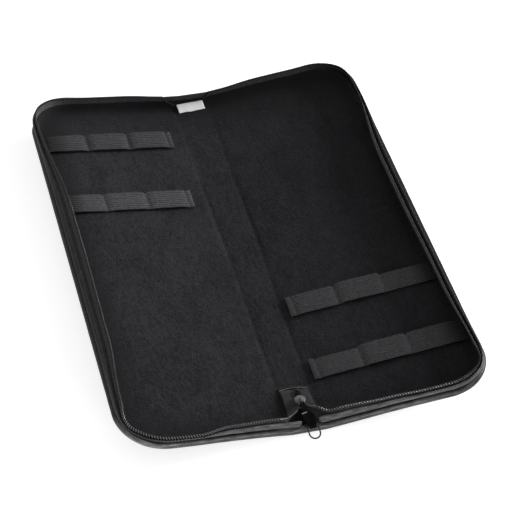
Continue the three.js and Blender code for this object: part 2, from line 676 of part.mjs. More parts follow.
// The joined coils between the slider and the stop, as one comb with teeth on both sides.
function joinedCoil() {
  const start = NEAR_END + SLIDER_SET_IN - SLIDER_LENGTH / 2 + POST_SET_IN + POST_LENGTH + SLIDER_TRAVEL + SEAT_GAP;
  const teeth = Math.floor((NEAR_END + TAIL_LEVEL_END - STOP_LENGTH - start) / TOOTH_PITCH);
  const [tip, root] = [JOINED_COIL_WIDTH / 2, JOINED_COIL_WIDTH / 2 - JOINED_COIL_TOOTH];
  const shape = new THREE.Shape();
  shape.moveTo(root, start);
  for (let tooth = 0; tooth < teeth; tooth += 1) {
    const foot = start + tooth * TOOTH_PITCH;
    shape.lineTo(tip, foot + TOOTH_PITCH / 4);
    shape.lineTo(tip, foot + TOOTH_PITCH / 2);
    shape.lineTo(root, foot + (TOOTH_PITCH * 3) / 4);
  }
  const end = start + teeth * TOOTH_PITCH;
  shape.lineTo(root, end);
  shape.lineTo(-root, end);
  for (let tooth = teeth - 1; tooth >= 0; tooth -= 1) {
    const foot = start + tooth * TOOTH_PITCH;
    shape.lineTo(-root, foot + TOOTH_PITCH);
    shape.lineTo(-tip, foot + (TOOTH_PITCH * 3) / 4);
    shape.lineTo(-tip, foot + TOOTH_PITCH / 2);
    shape.lineTo(-root, foot + TOOTH_PITCH / 4);
  }
  shape.lineTo(-root, start);
  return plate(shape, TAPE_UNDER_COIL, JOINED_COIL_HEIGHT).translate(TAIL_MIDDLE, 0, 0);
}

// The clip that stops the slider at the end of the coils.
function bottomStop() {
  const geometry = new THREE.BoxGeometry(STOP_WIDTH, STOP_LENGTH - SEAT_GAP, STOP_HEIGHT);
  const along = NEAR_END + TAIL_LEVEL_END - STOP_LENGTH / 2;
  return geometry.translate(TAIL_MIDDLE, along, TAPE_UNDER_COIL + STOP_HEIGHT / 2);
}

// The tab folded round the end of the tail: under it, round its end and back over it.
function endTab() {
  const [low, high] = [TAIL_FLOOR - SEAT_GAP, TAIL_FLOOR + TAPE_THICKNESS + SEAT_GAP];
  const start = TAIL_END + SEAT_GAP + TAB_THICKNESS - TAB_LENGTH;
  const rise = ((TAIL_HEIGHT - TAIL_FLOOR) * (TAIL_END - start)) / (TAIL_END - TAIL_LEVEL_END);
  const sideView = [
    [start, low - TAB_THICKNESS],
    [TAIL_END + SEAT_GAP + TAB_THICKNESS, low - TAB_THICKNESS],
    [TAIL_END + SEAT_GAP + TAB_THICKNESS, high + TAB_THICKNESS],
    [TAIL_END, high + TAB_THICKNESS],
    [start, high + TAB_THICKNESS + rise],
    [start, high + rise],
    [TAIL_END + SEAT_GAP, high],
    [TAIL_END + SEAT_GAP, low],
    [start, low],
  ];
  return spineSheet(TAIL_LEFT - SEAT_GAP, TAIL_RIGHT + SEAT_GAP, sideView);
}

// The tape that closes the far end of the spine, behind the band.
function farSpineTape() {
  const ring = (x) => [
    [TAPE_SET_IN, TAPE_FOOT],
    [TAPE_SET_IN + TAPE_THICKNESS, TAPE_FOOT],
    [TAPE_SET_IN + TAPE_THICKNESS, FAR_TAPE_TOP],
    [TAPE_SET_IN, FAR_TAPE_TOP],
  ].map(([inset, height]) => [x, FAR_END - inset - FAR_CREASE_LEAN * leanShare(height), height]);
  return loft([ring(-FAR_TAPE_WIDTH / 2), ring(FAR_TAPE_WIDTH / 2)], [[0, 1, 2], [0, 2, 3]]);
}

// The bare sewn-in label, which drops a little towards its free end.
function sewnLabel() {
  const start = CASE_LENGTH - LABEL_SET_IN;
  const end = start - LABEL_LENGTH;
  const foot = HINGE_HEIGHT + SEAT_GAP;
  const sideView = [
    [end, foot],
    [start, foot + LABEL_DROP],
    [start, foot + LABEL_DROP + LABEL_THICKNESS],
    [end, foot + LABEL_THICKNESS],
  ];
  return spineSheet(-LABEL_WIDTH / 2 - LABEL_SET_LEFT, LABEL_WIDTH / 2 - LABEL_SET_LEFT, sideView);
}

// The slider and what hangs on it

// The shield outline of a wing: narrow at the mouth, broad and slightly pointed at the tail.
function wingShape() {
  const [mouth, broad, half] = [SLIDER_MOUTH_WIDTH / 2, SLIDER_WIDTH / 2, SLIDER_LENGTH / 2];
  const shape = new THREE.Shape();
  shape.moveTo(-mouth, -half);
  shape.lineTo(mouth, -half);
  shape.bezierCurveTo(mouth, -half / 3, broad, -half / 6, broad, half / 4);
  shape.bezierCurveTo(broad, half * 0.75, mouth / 2, half * 0.85, 0, half);
  shape.bezierCurveTo(-mouth / 2, half * 0.85, -broad, half * 0.75, -broad, half / 4);
  shape.bezierCurveTo(-broad, -half / 6, -mouth, -half / 3, -mouth, -half);
  return shape;
}

// The arch on top of the slider that the puller's bar runs through, drawn from the side.
function bridge() {
  const half = BRIDGE_LENGTH / 2;
  const arch = new THREE.Shape();
  arch.moveTo(-half, -WING_THICKNESS / 2);
  arch.lineTo(half, -WING_THICKNESS / 2);
  arch.lineTo(half, BRIDGE_HEIGHT - BRIDGE_BAR);
  arch.lineTo(half - BRIDGE_BAR, BRIDGE_HEIGHT);
  arch.lineTo(-half + BRIDGE_BAR, BRIDGE_HEIGHT);
  arch.lineTo(-half, BRIDGE_HEIGHT - BRIDGE_BAR);
  arch.closePath();
  const geometry = new THREE.ExtrudeGeometry(arch, { depth: BRIDGE_WIDTH, bevelEnabled: false });
  geometry.translate(0, 0, -BRIDGE_WIDTH / 2).rotateX(Math.PI / 2).rotateZ(Math.PI / 2);
  geometry.translate(0, BRIDGE_Y, BRIDGE_FOOT);
  const window = block(
    [-BRIDGE_WIDTH, BRIDGE_Y - half + BRIDGE_BAR, BRIDGE_FOOT],
    [BRIDGE_WIDTH, BRIDGE_Y + half - BRIDGE_BAR, BRIDGE_FOOT + BRIDGE_HEIGHT - BRIDGE_BAR],
  );
  return solidOf(geometry).subtract(window);
}

// The slider: two wings held apart by the post that parts the coils, with a flange down each
// side to keep them together, and the bridge on top.
function sliderBody() {
  const lower = solidOf(plate(wingShape(), WING_LOWER_TOP - WING_THICKNESS, WING_THICKNESS, 5));
  const upper = solidOf(plate(wingShape(), WING_UPPER_FOOT, WING_THICKNESS, 5));
  const postStart = -SLIDER_LENGTH / 2 + POST_SET_IN;
  const post = block(
    [-POST_WIDTH / 2, postStart, WING_LOWER_TOP - WING_THICKNESS / 2],
    [POST_WIDTH / 2, postStart + POST_LENGTH, WING_UPPER_FOOT + WING_THICKNESS / 2],
  );
  const flangeOuter = SLIDER_WIDTH / 2 - FLANGE_THICKNESS / 8;
  const flange = (side) => block(
    [Math.min(side * flangeOuter, side * (flangeOuter - FLANGE_THICKNESS)), -FLANGE_LENGTH / 4, TAPE_UNDER_COIL],
    [
      Math.max(side * flangeOuter, side * (flangeOuter - FLANGE_THICKNESS)),
      FLANGE_LENGTH / 4,
      WING_UPPER_FOOT + WING_THICKNESS / 2,
    ],
  );
  return geometryOf(lower.add(upper).add(post).add(flange(-1)).add(flange(1)).add(bridge()));
}

// The puller lies along -Y from its bar in the bridge, which is its own origin.
function puller() {
  const outline = [
    [PULLER_NECK_WIDTH / 2, -PULLER_BAR / 2],
    [PULLER_NECK_WIDTH / 2, PULLER_NECK_END],
    [PULLER_WIDTH / 2, PULLER_SHOULDER],
    [PULLER_WIDTH / 2, PULLER_TAPER_START],
    [PULLER_END_WIDTH / 2, PULLER_REACH - BARREL_DIAMETER],
    [PULLER_END_WIDTH / 2, PULLER_REACH - BARREL_DIAMETER / 2],
    [BARREL_LENGTH / 2, PULLER_REACH],
  ];
  const mirrored = outline.map(([x, reach]) => [-x, reach]).reverse();
  const shape = new THREE.Shape([...outline, ...mirrored].map(([x, reach]) => new THREE.Vector2(x, -reach)));
  const body = solidOf(plate(shape, -PULLER_THICKNESS / 2, PULLER_THICKNESS));
  const eye = block(
    [-PULLER_EYE_WIDTH / 2, -PULLER_EYE_REACH, -PULLER_THICKNESS],
    [PULLER_EYE_WIDTH / 2, -PULLER_BAR / 2, PULLER_THICKNESS],
  );
  const windowEnd = PULLER_REACH - BARREL_DIAMETER;
  const window = block(
    [-PULLER_WINDOW_WIDTH / 2, -windowEnd, -PULLER_THICKNESS],
    [PULLER_WINDOW_WIDTH / 2, -windowEnd + PULLER_WINDOW_LENGTH, PULLER_THICKNESS],
  );
  const along = (diameter, length) => solidOf(
    new THREE.CylinderGeometry(diameter / 2, diameter / 2, length, 2 * WIRE_SIDES)
      .rotateZ(Math.PI / 2).translate(0, -PULLER_REACH, 0),
  );
  const barrel = along(BARREL_DIAMETER, BARREL_LENGTH);
  const bore = along(BARREL_BORE, 2 * BARREL_LENGTH);
  return geometryOf(body.subtract(eye).subtract(window).add(barrel).subtract(bore));
}

// The wire ring: a straight bar in the puller's barrel, two short legs and a half round.
function pullRing() {
  const half = RING_WIDTH / 2;
  const leg = RING_LENGTH - half;
  const centreLine = new THREE.Shape();
  centreLine.moveTo(-half + RING_BEND, 0);
  centreLine.lineTo(half - RING_BEND, 0);
  centreLine.absarc(half - RING_BEND, -RING_BEND, RING_BEND, Math.PI / 2, 0, true);
  centreLine.lineTo(half, -leg);
  centreLine.absarc(0, -leg, half, 0, -Math.PI, true);
  centreLine.lineTo(-half, -RING_BEND);
  centreLine.absarc(-half + RING_BEND, -RING_BEND, RING_BEND, Math.PI, Math.PI / 2, true);
  const points = centreLine.getSpacedPoints(RING_STEPS).slice(0, RING_STEPS);
  const rings = points.map((point, step) => {
    const before = points[(step + RING_STEPS - 1) % RING_STEPS];
    const after = points[(step + 1) % RING_STEPS];
    const ahead = after.clone().sub(before).normalize();
    return Array.from({ length: WIRE_SIDES }, (_, corner) => {
      const angle = (corner / WIRE_SIDES) * 2 * Math.PI;
      const out = (Math.cos(angle) * RING_WIRE) / 2;
      return [point.x - ahead.y * out, point.y + ahead.x * out, (Math.sin(angle) * RING_WIRE) / 2];
    });
  });
  return loft(rings, null);
}

// The case

function piece(name, finish, geometry) {
  const mesh = new THREE.Mesh(geometry, new THREE.MeshStandardMaterial(FINISHES[finish]));
  mesh.name = name;
  return mesh;
}

// One half in its own group, hinged at its crease and tilted to its rest.
function half(side, name, webbings) {
  const group = new THREE.Group();
  group.position.set((side * SPINE_WIDTH) / 2, 0, HINGE_HEIGHT);
  group.rotation.y = -side * REST_FOLD;
  group.add(
    piece(`${name}_cover`, 'leatherette', halfCover(side)),
    piece(`${name}_board`, 'board', halfBoard(side)),
    piece(`${name}_lining`, 'felt', halfLining(side)),
    piece(`${name}_base_roll`, 'leatherette', baseRoll(side)),
    piece(`${name}_edge_band`, 'leatherette', wallStrip(side, BAND_SECTION)),
    piece(`${name}_zip_tape`, 'tape', wallStrip(side, TAPE_SECTION)),
    piece(`${name}_zip_coil`, 'coil', wallStrip(side, COIL_SECTION)),
  );
  for (const [place, alongShare] of webbings) {
    group.add(piece(`${name}_${place}_elastic`, 'webbing', elasticWebbing(side, alongShare)));
  }
  return group;
}

// The crossing ends of one side, at both ends of the spine.
function crossingEnds(side, name) {
  const group = new THREE.Group();
  for (const [end, place] of [[-1, 'near'], [1, 'far']]) {
    group.add(
      piece(`${name}_${place}_band_end`, 'leatherette', bandEnd(side, end)),
      piece(`${name}_${place}_tape_end`, 'tape', tapeEnd(side, end)),
      piece(`${name}_${place}_coil_end`, 'coil', coilEnd(side, end)),
    );
  }
  return group;
}

function spine() {
  const group = new THREE.Group();
  const boardFoot = COVER_THICKNESS + SEAT_GAP;
  group.add(
    piece('spine_cover', 'leatherette', spineLayer(SEAT_GAP / 2, COVER_SET_IN, 0, COVER_THICKNESS)),
    piece('spine_board', 'board', spineLayer(SEAT_GAP / 2 + BOARD_SET_BACK, FLOOR_SET_IN, boardFoot, BOARD_THICKNESS)),
    piece('spine_lining', 'felt', spineLayer(
      SEAT_GAP / 2, FLOOR_SET_IN, HINGE_HEIGHT - LINING_THICKNESS, LINING_THICKNESS,
    )),
    piece('near_spine_roll', 'leatherette', spineRoll(NEAR_END, 1)),
    piece('far_spine_roll', 'leatherette', spineRoll(FAR_END, -1)),
    piece('far_spine_tape', 'tape', farSpineTape()),
    piece('left_tail_tape', 'tape', tailTape(-1)),
    piece('right_tail_tape', 'tape', tailTape(1)),
    piece('joined_coil', 'coil', joinedCoil()),
    piece('bottom_stop', 'slider', bottomStop()),
    piece('end_tab', 'leatherette', endTab()),
    piece('sewn_label', 'label', sewnLabel()),
  );
  return group;
}

function zipSlider() {
  const group = new THREE.Group();
  group.position.set(TAIL_MIDDLE, SLIDER_Y, 0);
  group.rotation.z = SLIDER_YAW;
  const hanging = new THREE.Group();
  hanging.position.set(0, BRIDGE_Y, PIVOT_Z);
  hanging.rotation.x = PULLER_SLOPE;
  const ring = new THREE.Group();
  ring.position.set(0, -PULLER_REACH, 0);
  ring.rotation.x = RING_DROP;
  ring.add(piece('pull_ring', 'puller', pullRing()));
  hanging.add(piece('puller', 'puller', puller()), ring);
  group.add(piece('slider_body', 'slider', sliderBody()), hanging);
  return group;
}

const knifeCase = new THREE.Group();
knifeCase.add(
  spine(),
  half(-1, 'left', [['far', LEFT_FAR_SHARE], ['middle', LEFT_MIDDLE_SHARE]]),
  half(1, 'right', [['middle', RIGHT_MIDDLE_SHARE], ['near', RIGHT_NEAR_SHARE]]),
  crossingEnds(-1, 'left'),
  crossingEnds(1, 'right'),
  zipSlider(),
);

export default knifeCase;
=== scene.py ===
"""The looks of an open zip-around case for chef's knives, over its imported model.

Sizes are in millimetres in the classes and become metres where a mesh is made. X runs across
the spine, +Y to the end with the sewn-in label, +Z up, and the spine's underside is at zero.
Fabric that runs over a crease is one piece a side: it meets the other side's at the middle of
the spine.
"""

import logging
from dataclasses import dataclass
from enum import Enum

import bpy
import numpy as np
from mathutils import Matrix, Vector


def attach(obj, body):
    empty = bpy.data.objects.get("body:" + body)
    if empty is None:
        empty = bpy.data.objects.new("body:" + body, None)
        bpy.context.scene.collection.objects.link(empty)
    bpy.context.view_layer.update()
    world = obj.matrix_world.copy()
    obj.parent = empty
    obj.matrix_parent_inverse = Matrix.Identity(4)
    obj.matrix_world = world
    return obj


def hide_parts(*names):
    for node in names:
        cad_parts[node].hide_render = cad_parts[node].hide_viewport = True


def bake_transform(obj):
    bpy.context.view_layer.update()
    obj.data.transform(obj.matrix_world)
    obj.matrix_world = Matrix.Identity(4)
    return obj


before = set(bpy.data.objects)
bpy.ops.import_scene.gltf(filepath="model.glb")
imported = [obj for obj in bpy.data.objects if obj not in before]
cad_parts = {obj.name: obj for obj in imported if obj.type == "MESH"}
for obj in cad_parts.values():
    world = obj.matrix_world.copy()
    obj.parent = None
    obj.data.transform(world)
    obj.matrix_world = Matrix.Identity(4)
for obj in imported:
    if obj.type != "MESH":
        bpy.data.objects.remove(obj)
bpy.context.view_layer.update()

log = logging.getLogger("knife_case")
MM = 0.001
TURN = 2.0 * np.pi
UP = np.array([0.0, 0.0, 1.0])
SPAN_SAMPLES = 32
CAP_ANGLE = np.radians(50.0)
RIM_ANGLE = np.radians(55.0)

Array = np.ndarray
Piece = bpy.types.Object
Material = bpy.types.Material
Socket = bpy.types.NodeSocket


class Side(Enum):
    """The two halves of the case, by the sign of their X."""

    LEFT = -1
    RIGHT = 1

    @property
    def word(self) -> str:
        """The side's name in piece and node names."""
        return self.name.lower()

    @property
    def body(self) -> str:
        """The body that this side's half rides on."""
        return f"{self.word}_half"


# Curves


def smoothstep(share: Array) -> Array:
    """Holds a share between 0 and 1 and eases it as 3 times its square less twice its cube."""
    held = np.clip(share, 0.0, 1.0)
    return held * held * (3.0 - 2.0 * held)


def through(points: Array, count: int) -> Array:
    """Runs a smooth line through points and spaces it evenly.

    Each span is a cubic. Its knots lie apart by the roots of the distances, and it leaves a
    point along the mean of the directions on both sides, weighted by the other side's knots.

    Args:
        points: The points, one row each.
        count: How many points the result has.

    Returns:
        Evenly spaced points along the line.
    """
    gaps = np.sqrt(np.linalg.norm(np.diff(points, axis=0), axis=1))[:, None]
    slopes = np.diff(points, axis=0) / gaps
    middle = (slopes[:-1] * gaps[1:] + slopes[1:] * gaps[:-1]) / (gaps[:-1] + gaps[1:])
    leave = np.vstack([slopes[:1], middle, slopes[-1:]])[:, None]
    share = (np.arange(SPAN_SAMPLES) / SPAN_SAMPLES)[None, :, None]
    spans = (
        points[:-1, None] * (1 + 2 * share) * (1 - share) ** 2
        + leave[:-1] * gaps[:, None] * share * (1 - share) ** 2
        + points[1:, None] * share**2 * (3 - 2 * share)
        + leave[1:] * gaps[:, None] * share**2 * (share - 1)
    )
    return evenly(np.vstack([spans.reshape(-1, points.shape[1]), points[-1:]]), count)


def lengths_along(line: Array) -> Array:
    """Adds up the lengths from the first point of a line to each of its points."""
    steps = np.linalg.norm(np.diff(line, axis=0), axis=1)
    return np.concatenate([[0.0], np.cumsum(steps)])


def evenly(line: Array, count: int) -> Array:
    """Respaces a line's points by equal lengths along it.

    Args:
        line: The points, one row each.
        count: How many points the result has.

    Returns:
        The evenly spaced points.
    """
    along = lengths_along(line)
    wanted = np.linspace(0.0, along[-1], count)
    return np.stack([np.interp(wanted, along, line[:, k]) for k in range(line.shape[1])], axis=1)


def unit(vectors: Array) -> Array:
    """Scales vectors to a length of one."""
    return vectors / np.maximum(np.linalg.norm(vectors, axis=-1, keepdims=True), 1e-12)


def tangents(line: Array, closed: bool = False) -> Array:
    """Gives a line's unit directions at its points. A closed one runs on from last to first."""
    around = np.roll(line, -1, axis=0) - np.roll(line, 1, axis=0)
    return unit(around if closed else np.gradient(line, axis=0))


def rumple(across: Array, along: Array, seed: int, wave: float) -> Array:
    """Gives the soft unevenness of laid fabric, as a sum of sine waves.

    Each wave runs its own way, shorter and weaker than the one before by a share of the first.

    Args:
        across: Places one way over the fabric, in millimetres.
        along: Places the other way.
        seed: A number that sets the waves' directions and starts.
        wave: The longest wave, in millimetres.

    Returns:
        Numbers between about -1 and 1.
    """
    waves, shorter, weaker, highest = 9, 0.45, 0.5, 3.2
    rng = np.random.default_rng(seed)
    total = np.zeros(np.broadcast(across, along).shape)
    for order in range(waves):
        turn, start = rng.uniform(0.0, np.pi), rng.uniform(0.0, TURN)
        length = wave / (1.0 + shorter * order)
        place = across * np.cos(turn) + along * np.sin(turn)
        total = total + np.sin(TURN * place / length + start) / (1.0 + weaker * order)
    return total / highest


def rounded_section(width: float, height: float, corners: int, fullness: float = 1.0) -> Array:
    """Draws a rounded closed section: an ellipse at a fullness of 1, and fuller above it.

    Args:
        width: Its size the first way.
        height: Its size the second way.
        corners: How many points it has.
        fullness: How far it fills its box.

    Returns:
        The points about its centre, two numbers each.
    """
    turn = (np.arange(corners) + 0.5) / corners * TURN
    across, up = np.cos(turn), np.sin(turn)
    power = 2 * fullness
    reach = (np.abs(across) ** power + np.abs(up) ** power) ** (-0.5 / fullness)
    return np.stack([across * reach * width / 2, up * reach * height / 2], axis=1)


# Meshes


def link(name: str, data: bpy.types.ID) -> Piece:
    """Puts a mesh, curve, lamp or camera into the scene.

    Args:
        name: The object's name.
        data: What it shows.

    Returns:
        The object, at the origin.
    """
    made = bpy.data.objects.new(name, data)
    bpy.context.collection.objects.link(made)
    return made


def mesh_object(
    name: str, points: Array, faces: list, uvs: Array | None = None
) -> Piece:
    """Makes a smooth-shaded mesh object from points in millimetres.

    Args:
        name: The object's name.
        points: The vertices, one row each.
        faces: The corner numbers of each face.
        uvs: A place in millimetres for each corner of each face, in order.

    Returns:
        The object, at the origin.
    """
    mesh = bpy.data.meshes.new(name)
    mesh.from_pydata((np.asarray(points, dtype=float) * MM).tolist(), [], faces)
    mesh.polygons.foreach_set("use_smooth", np.ones(len(mesh.polygons), dtype=bool))
    if uvs is not None:
        layer = mesh.uv_layers.new(name="Fabric")
        layer.data.foreach_set("uv", (np.asarray(uvs, dtype=float) * MM).ravel())
    mesh.validate()
    mesh.update()
    return link(name, mesh)


def enclosed(points: Array, quads: Array) -> float:
    """Adds up six times the signed volume between quads and the origin.

    Args:
        points: The vertices.
        quads: Four vertex numbers to a row.

    Returns:
        The sum, above zero when the quads face outwards.
    """
    a, b, c, d = (points[quads[:, k]] for k in range(4))
    first = np.einsum("ij,ij->i", a, np.cross(b, c))
    return float((first + np.einsum("ij,ij->i", a, np.cross(c, d))).sum())


def spread(points: Array) -> tuple[Array, Array]:
    """Measures the mean distances from a grid's first row and column to each one.

    Args:
        points: Rows of columns of points.

    Returns:
        The rows' and the columns' distances, each ending with the way back to the first.
    """
    down = np.diff(np.concatenate([points, points[:1]]), axis=0)
    over = np.diff(np.concatenate([points, points[:, :1]], axis=1), axis=1)
    row_steps = np.linalg.norm(down, axis=2).mean(axis=1)
    column_steps = np.linalg.norm(over, axis=2).mean(axis=0)
    return tuple(np.concatenate([[0.0], np.cumsum(steps)]) for steps in (row_steps, column_steps))


def grid(
    name: str, points: Array, ring: bool = False, loop: bool = False, flip: bool = False
) -> Piece:
    """Skins a grid of points with quads.

    Its UV map holds the mean distances along the rows and the columns.

    Args:
        name: The object's name.
        points: Rows of columns of points.
        ring: Whether the last column joins the first, as round a tube. Such a tube's ends are
            closed with a face each unless it is a loop.
        loop: Whether the last row joins the first, as in a closed loop.
        flip: Whether an open sheet faces the other way.

    Returns:
        The object.
    """
    rows, columns = points.shape[:2]
    caps = ring and not loop
    spans, bands = np.arange(rows - (not loop)), np.arange(columns - (not ring))
    i, j = (index.ravel() for index in np.meshgrid(spans, bands, indexing="ij"))
    corners = [(i, j), (i + 1, j), (i + 1, j + 1), (i, j + 1)]
    quads = np.stack([(a % rows) * columns + b % columns for a, b in corners], axis=1)
    row_at, column_at = spread(points)
    uvs = np.stack([np.stack([row_at[a], column_at[b]], axis=1) for a, b in corners], axis=1)
    flat = points.reshape(-1, 3)
    turned = enclosed(flat - flat.mean(axis=0), quads) < 0 if ring else flip
    if turned:
        quads, uvs = quads[:, ::-1], uvs[:, ::-1]
    faces, corners_uv = quads.tolist(), uvs.reshape(-1, 2)
    if caps:
        first, last = list(range(columns)), list(range((rows - 1) * columns, rows * columns))
        faces += [first, last[::-1]] if turned else [first[::-1], last]
        corners_uv = np.vstack([corners_uv, np.zeros((2 * columns, 2))])
    made = mesh_object(name, flat, faces, corners_uv)
    if caps:
        made.data.set_sharp_from_angle(angle=CAP_ANGLE)
    return made


def slab(
    name: str, face: Array, thickness: float, flip: bool = False, centred: bool = False
) -> Piece:
    """Makes a sheet with a front, a back and rims from a grid of points on its face.

    The back is the front less the thickness times the normal, which is the cross product of
    the grid's steps down and over. The UV map holds the mean distances along both.

    Args:
        name: The object's name.
        face: Rows of columns of points.
        thickness: In millimetres.
        flip: Whether the front faces the other way.
        centred: Whether the points lie midway between the front and the back.

    Returns:
        The object.
    """
    rows, columns = face.shape[:2]
    down, over = np.gradient(face, axis=0), np.gradient(face, axis=1)
    deep = thickness * (unit(np.cross(down, over)) * (-1.0 if flip else 1.0))
    front = face + deep / 2 if centred else face
    number = np.arange(rows * columns).reshape(rows, columns)
    corners = [number[:-1, :-1], number[1:, :-1], number[1:, 1:], number[:-1, 1:]]
    quads = np.stack(corners, axis=-1).reshape(-1, 4)
    around = [number[:-1, 0], number[-1, :-1], number[:0:-1, -1], number[0, :0:-1]]
    edge = np.concatenate(around)
    ahead = np.roll(edge, -1)
    below = rows * columns
    rims = np.stack([ahead, edge, edge + below, ahead + below], axis=1)
    faces = np.vstack([quads, quads[:, ::-1] + below, rims])
    if flip:
        faces = faces[:, ::-1]
    row_at, column_at = spread(face)
    places = np.meshgrid(row_at[:-1], column_at[:-1], indexing="ij")
    places = np.tile(np.stack(places, axis=-1).reshape(-1, 2), (2, 1))
    points = np.vstack([front.reshape(-1, 3), (front - deep).reshape(-1, 3)])
    made = mesh_object(name, points, faces.tolist(), places[faces.ravel()])
    made.data.set_sharp_from_angle(angle=RIM_ANGLE)
    return made


def tube(
    name: str, line: Array, reference: Array, section: Array, closed: bool = False
) -> Piece:
    """Carries a closed section along a line.

    A ring of the tube is the line's point, plus the section's first number times the sideways
    direction and its second number times the direction nearest to the reference.

    Args:
        name: The object's name.
        line: The points of the line.
        reference: Directions that the section's second axis keeps to, one for all or one each.
        section: The section's points, two numbers each.
        closed: Whether the line is a loop.

    Returns:
        The object, capped unless it is a loop.
    """
    ahead = tangents(line, closed)
    side = unit(np.cross(ahead, np.broadcast_to(reference, line.shape)))
    up = np.cross(side, ahead)
    rings = line[:, None] + side[:, None] * section[:, :1] + up[:, None] * section[:, 1:]
    return grid(name, rings, ring=True, loop=closed)


def stitches(
    name: str, places: Array, ahead: Array, outward: Array, length: float, width: float
) -> Piece:
    """Lays a thread stitch at each place, all as one mesh.

    A stitch is a spindle of five-sided rings: its half width is the root of 1 less the square
    of the way from its middle, and its ends dip into the fabric.

    Args:
        name: The object's name.
        places: The middle of each stitch.
        ahead: The way each stitch runs.
        outward: The way out of the fabric at each stitch.
        length: A stitch's length.
        width: The thread's width.

    Returns:
        The object.
    """
    sides, raised, dip = 5, 0.35, 0.6
    share = np.array([-0.97, -0.6, 0.0, 0.6, 0.97])
    turn = np.arange(sides) / sides * TURN
    wide = np.sqrt(1.0 - share**2) * width / 2
    lift = raised * width - dip * width * share**2
    along = np.repeat(share * length / 2, sides)
    across = (wide[:, None] * np.cos(turn)).ravel()
    up = (wide[:, None] * np.sin(turn) + lift[:, None]).ravel()
    ahead = unit(ahead)
    side = unit(np.cross(outward, ahead))
    out = np.cross(ahead, side)
    points = places[:, None] + ahead[:, None] * along[None, :, None]
    points = points + side[:, None] * across[None, :, None] + out[:, None] * up[None, :, None]
    spans, corners = range(len(share) - 1), range(sides)
    ring, corner = (n.ravel() for n in np.meshgrid(spans, corners, indexing="ij"))
    here, after = ring * sides + corner, ring * sides + (corner + 1) % sides
    quads = np.stack([here + sides, after + sides, after, here], axis=1)
    ends = np.stack([np.arange(sides), np.arange(len(along))[:-sides - 1:-1]])
    first = len(along) * np.arange(len(places))[:, None, None]
    walls, caps = ((part + first).reshape(-1, part.shape[1]).tolist() for part in (quads, ends))
    return mesh_object(name, points.reshape(-1, 3), walls + caps)


def thicken(piece: Piece, thickness: float) -> None:
    """Gives a sheet its thickness in millimetres, inwards from its face."""
    wall = piece.modifiers.new("Thickness", "SOLIDIFY")
    wall.thickness, wall.offset = thickness * MM, -1.0


# Materials


@dataclass(frozen=True)
class Noise:
    """A noise on the object, or on the piece's own fabric when unfolded.

    Its feature is in millimetres. The stretch is what each axis is multiplied by.
    """

    feature: float
    detail: float
    rough: float = 0.5
    swirl: float = 0.0
    stretch: tuple = (1.0, 1.0, 1.0)
    unfolded: bool = False


def scaled(tone: float, shares: tuple) -> tuple:
    """Multiplies each channel of a colour by a tone."""
    return tuple(tone * share for share in shares)


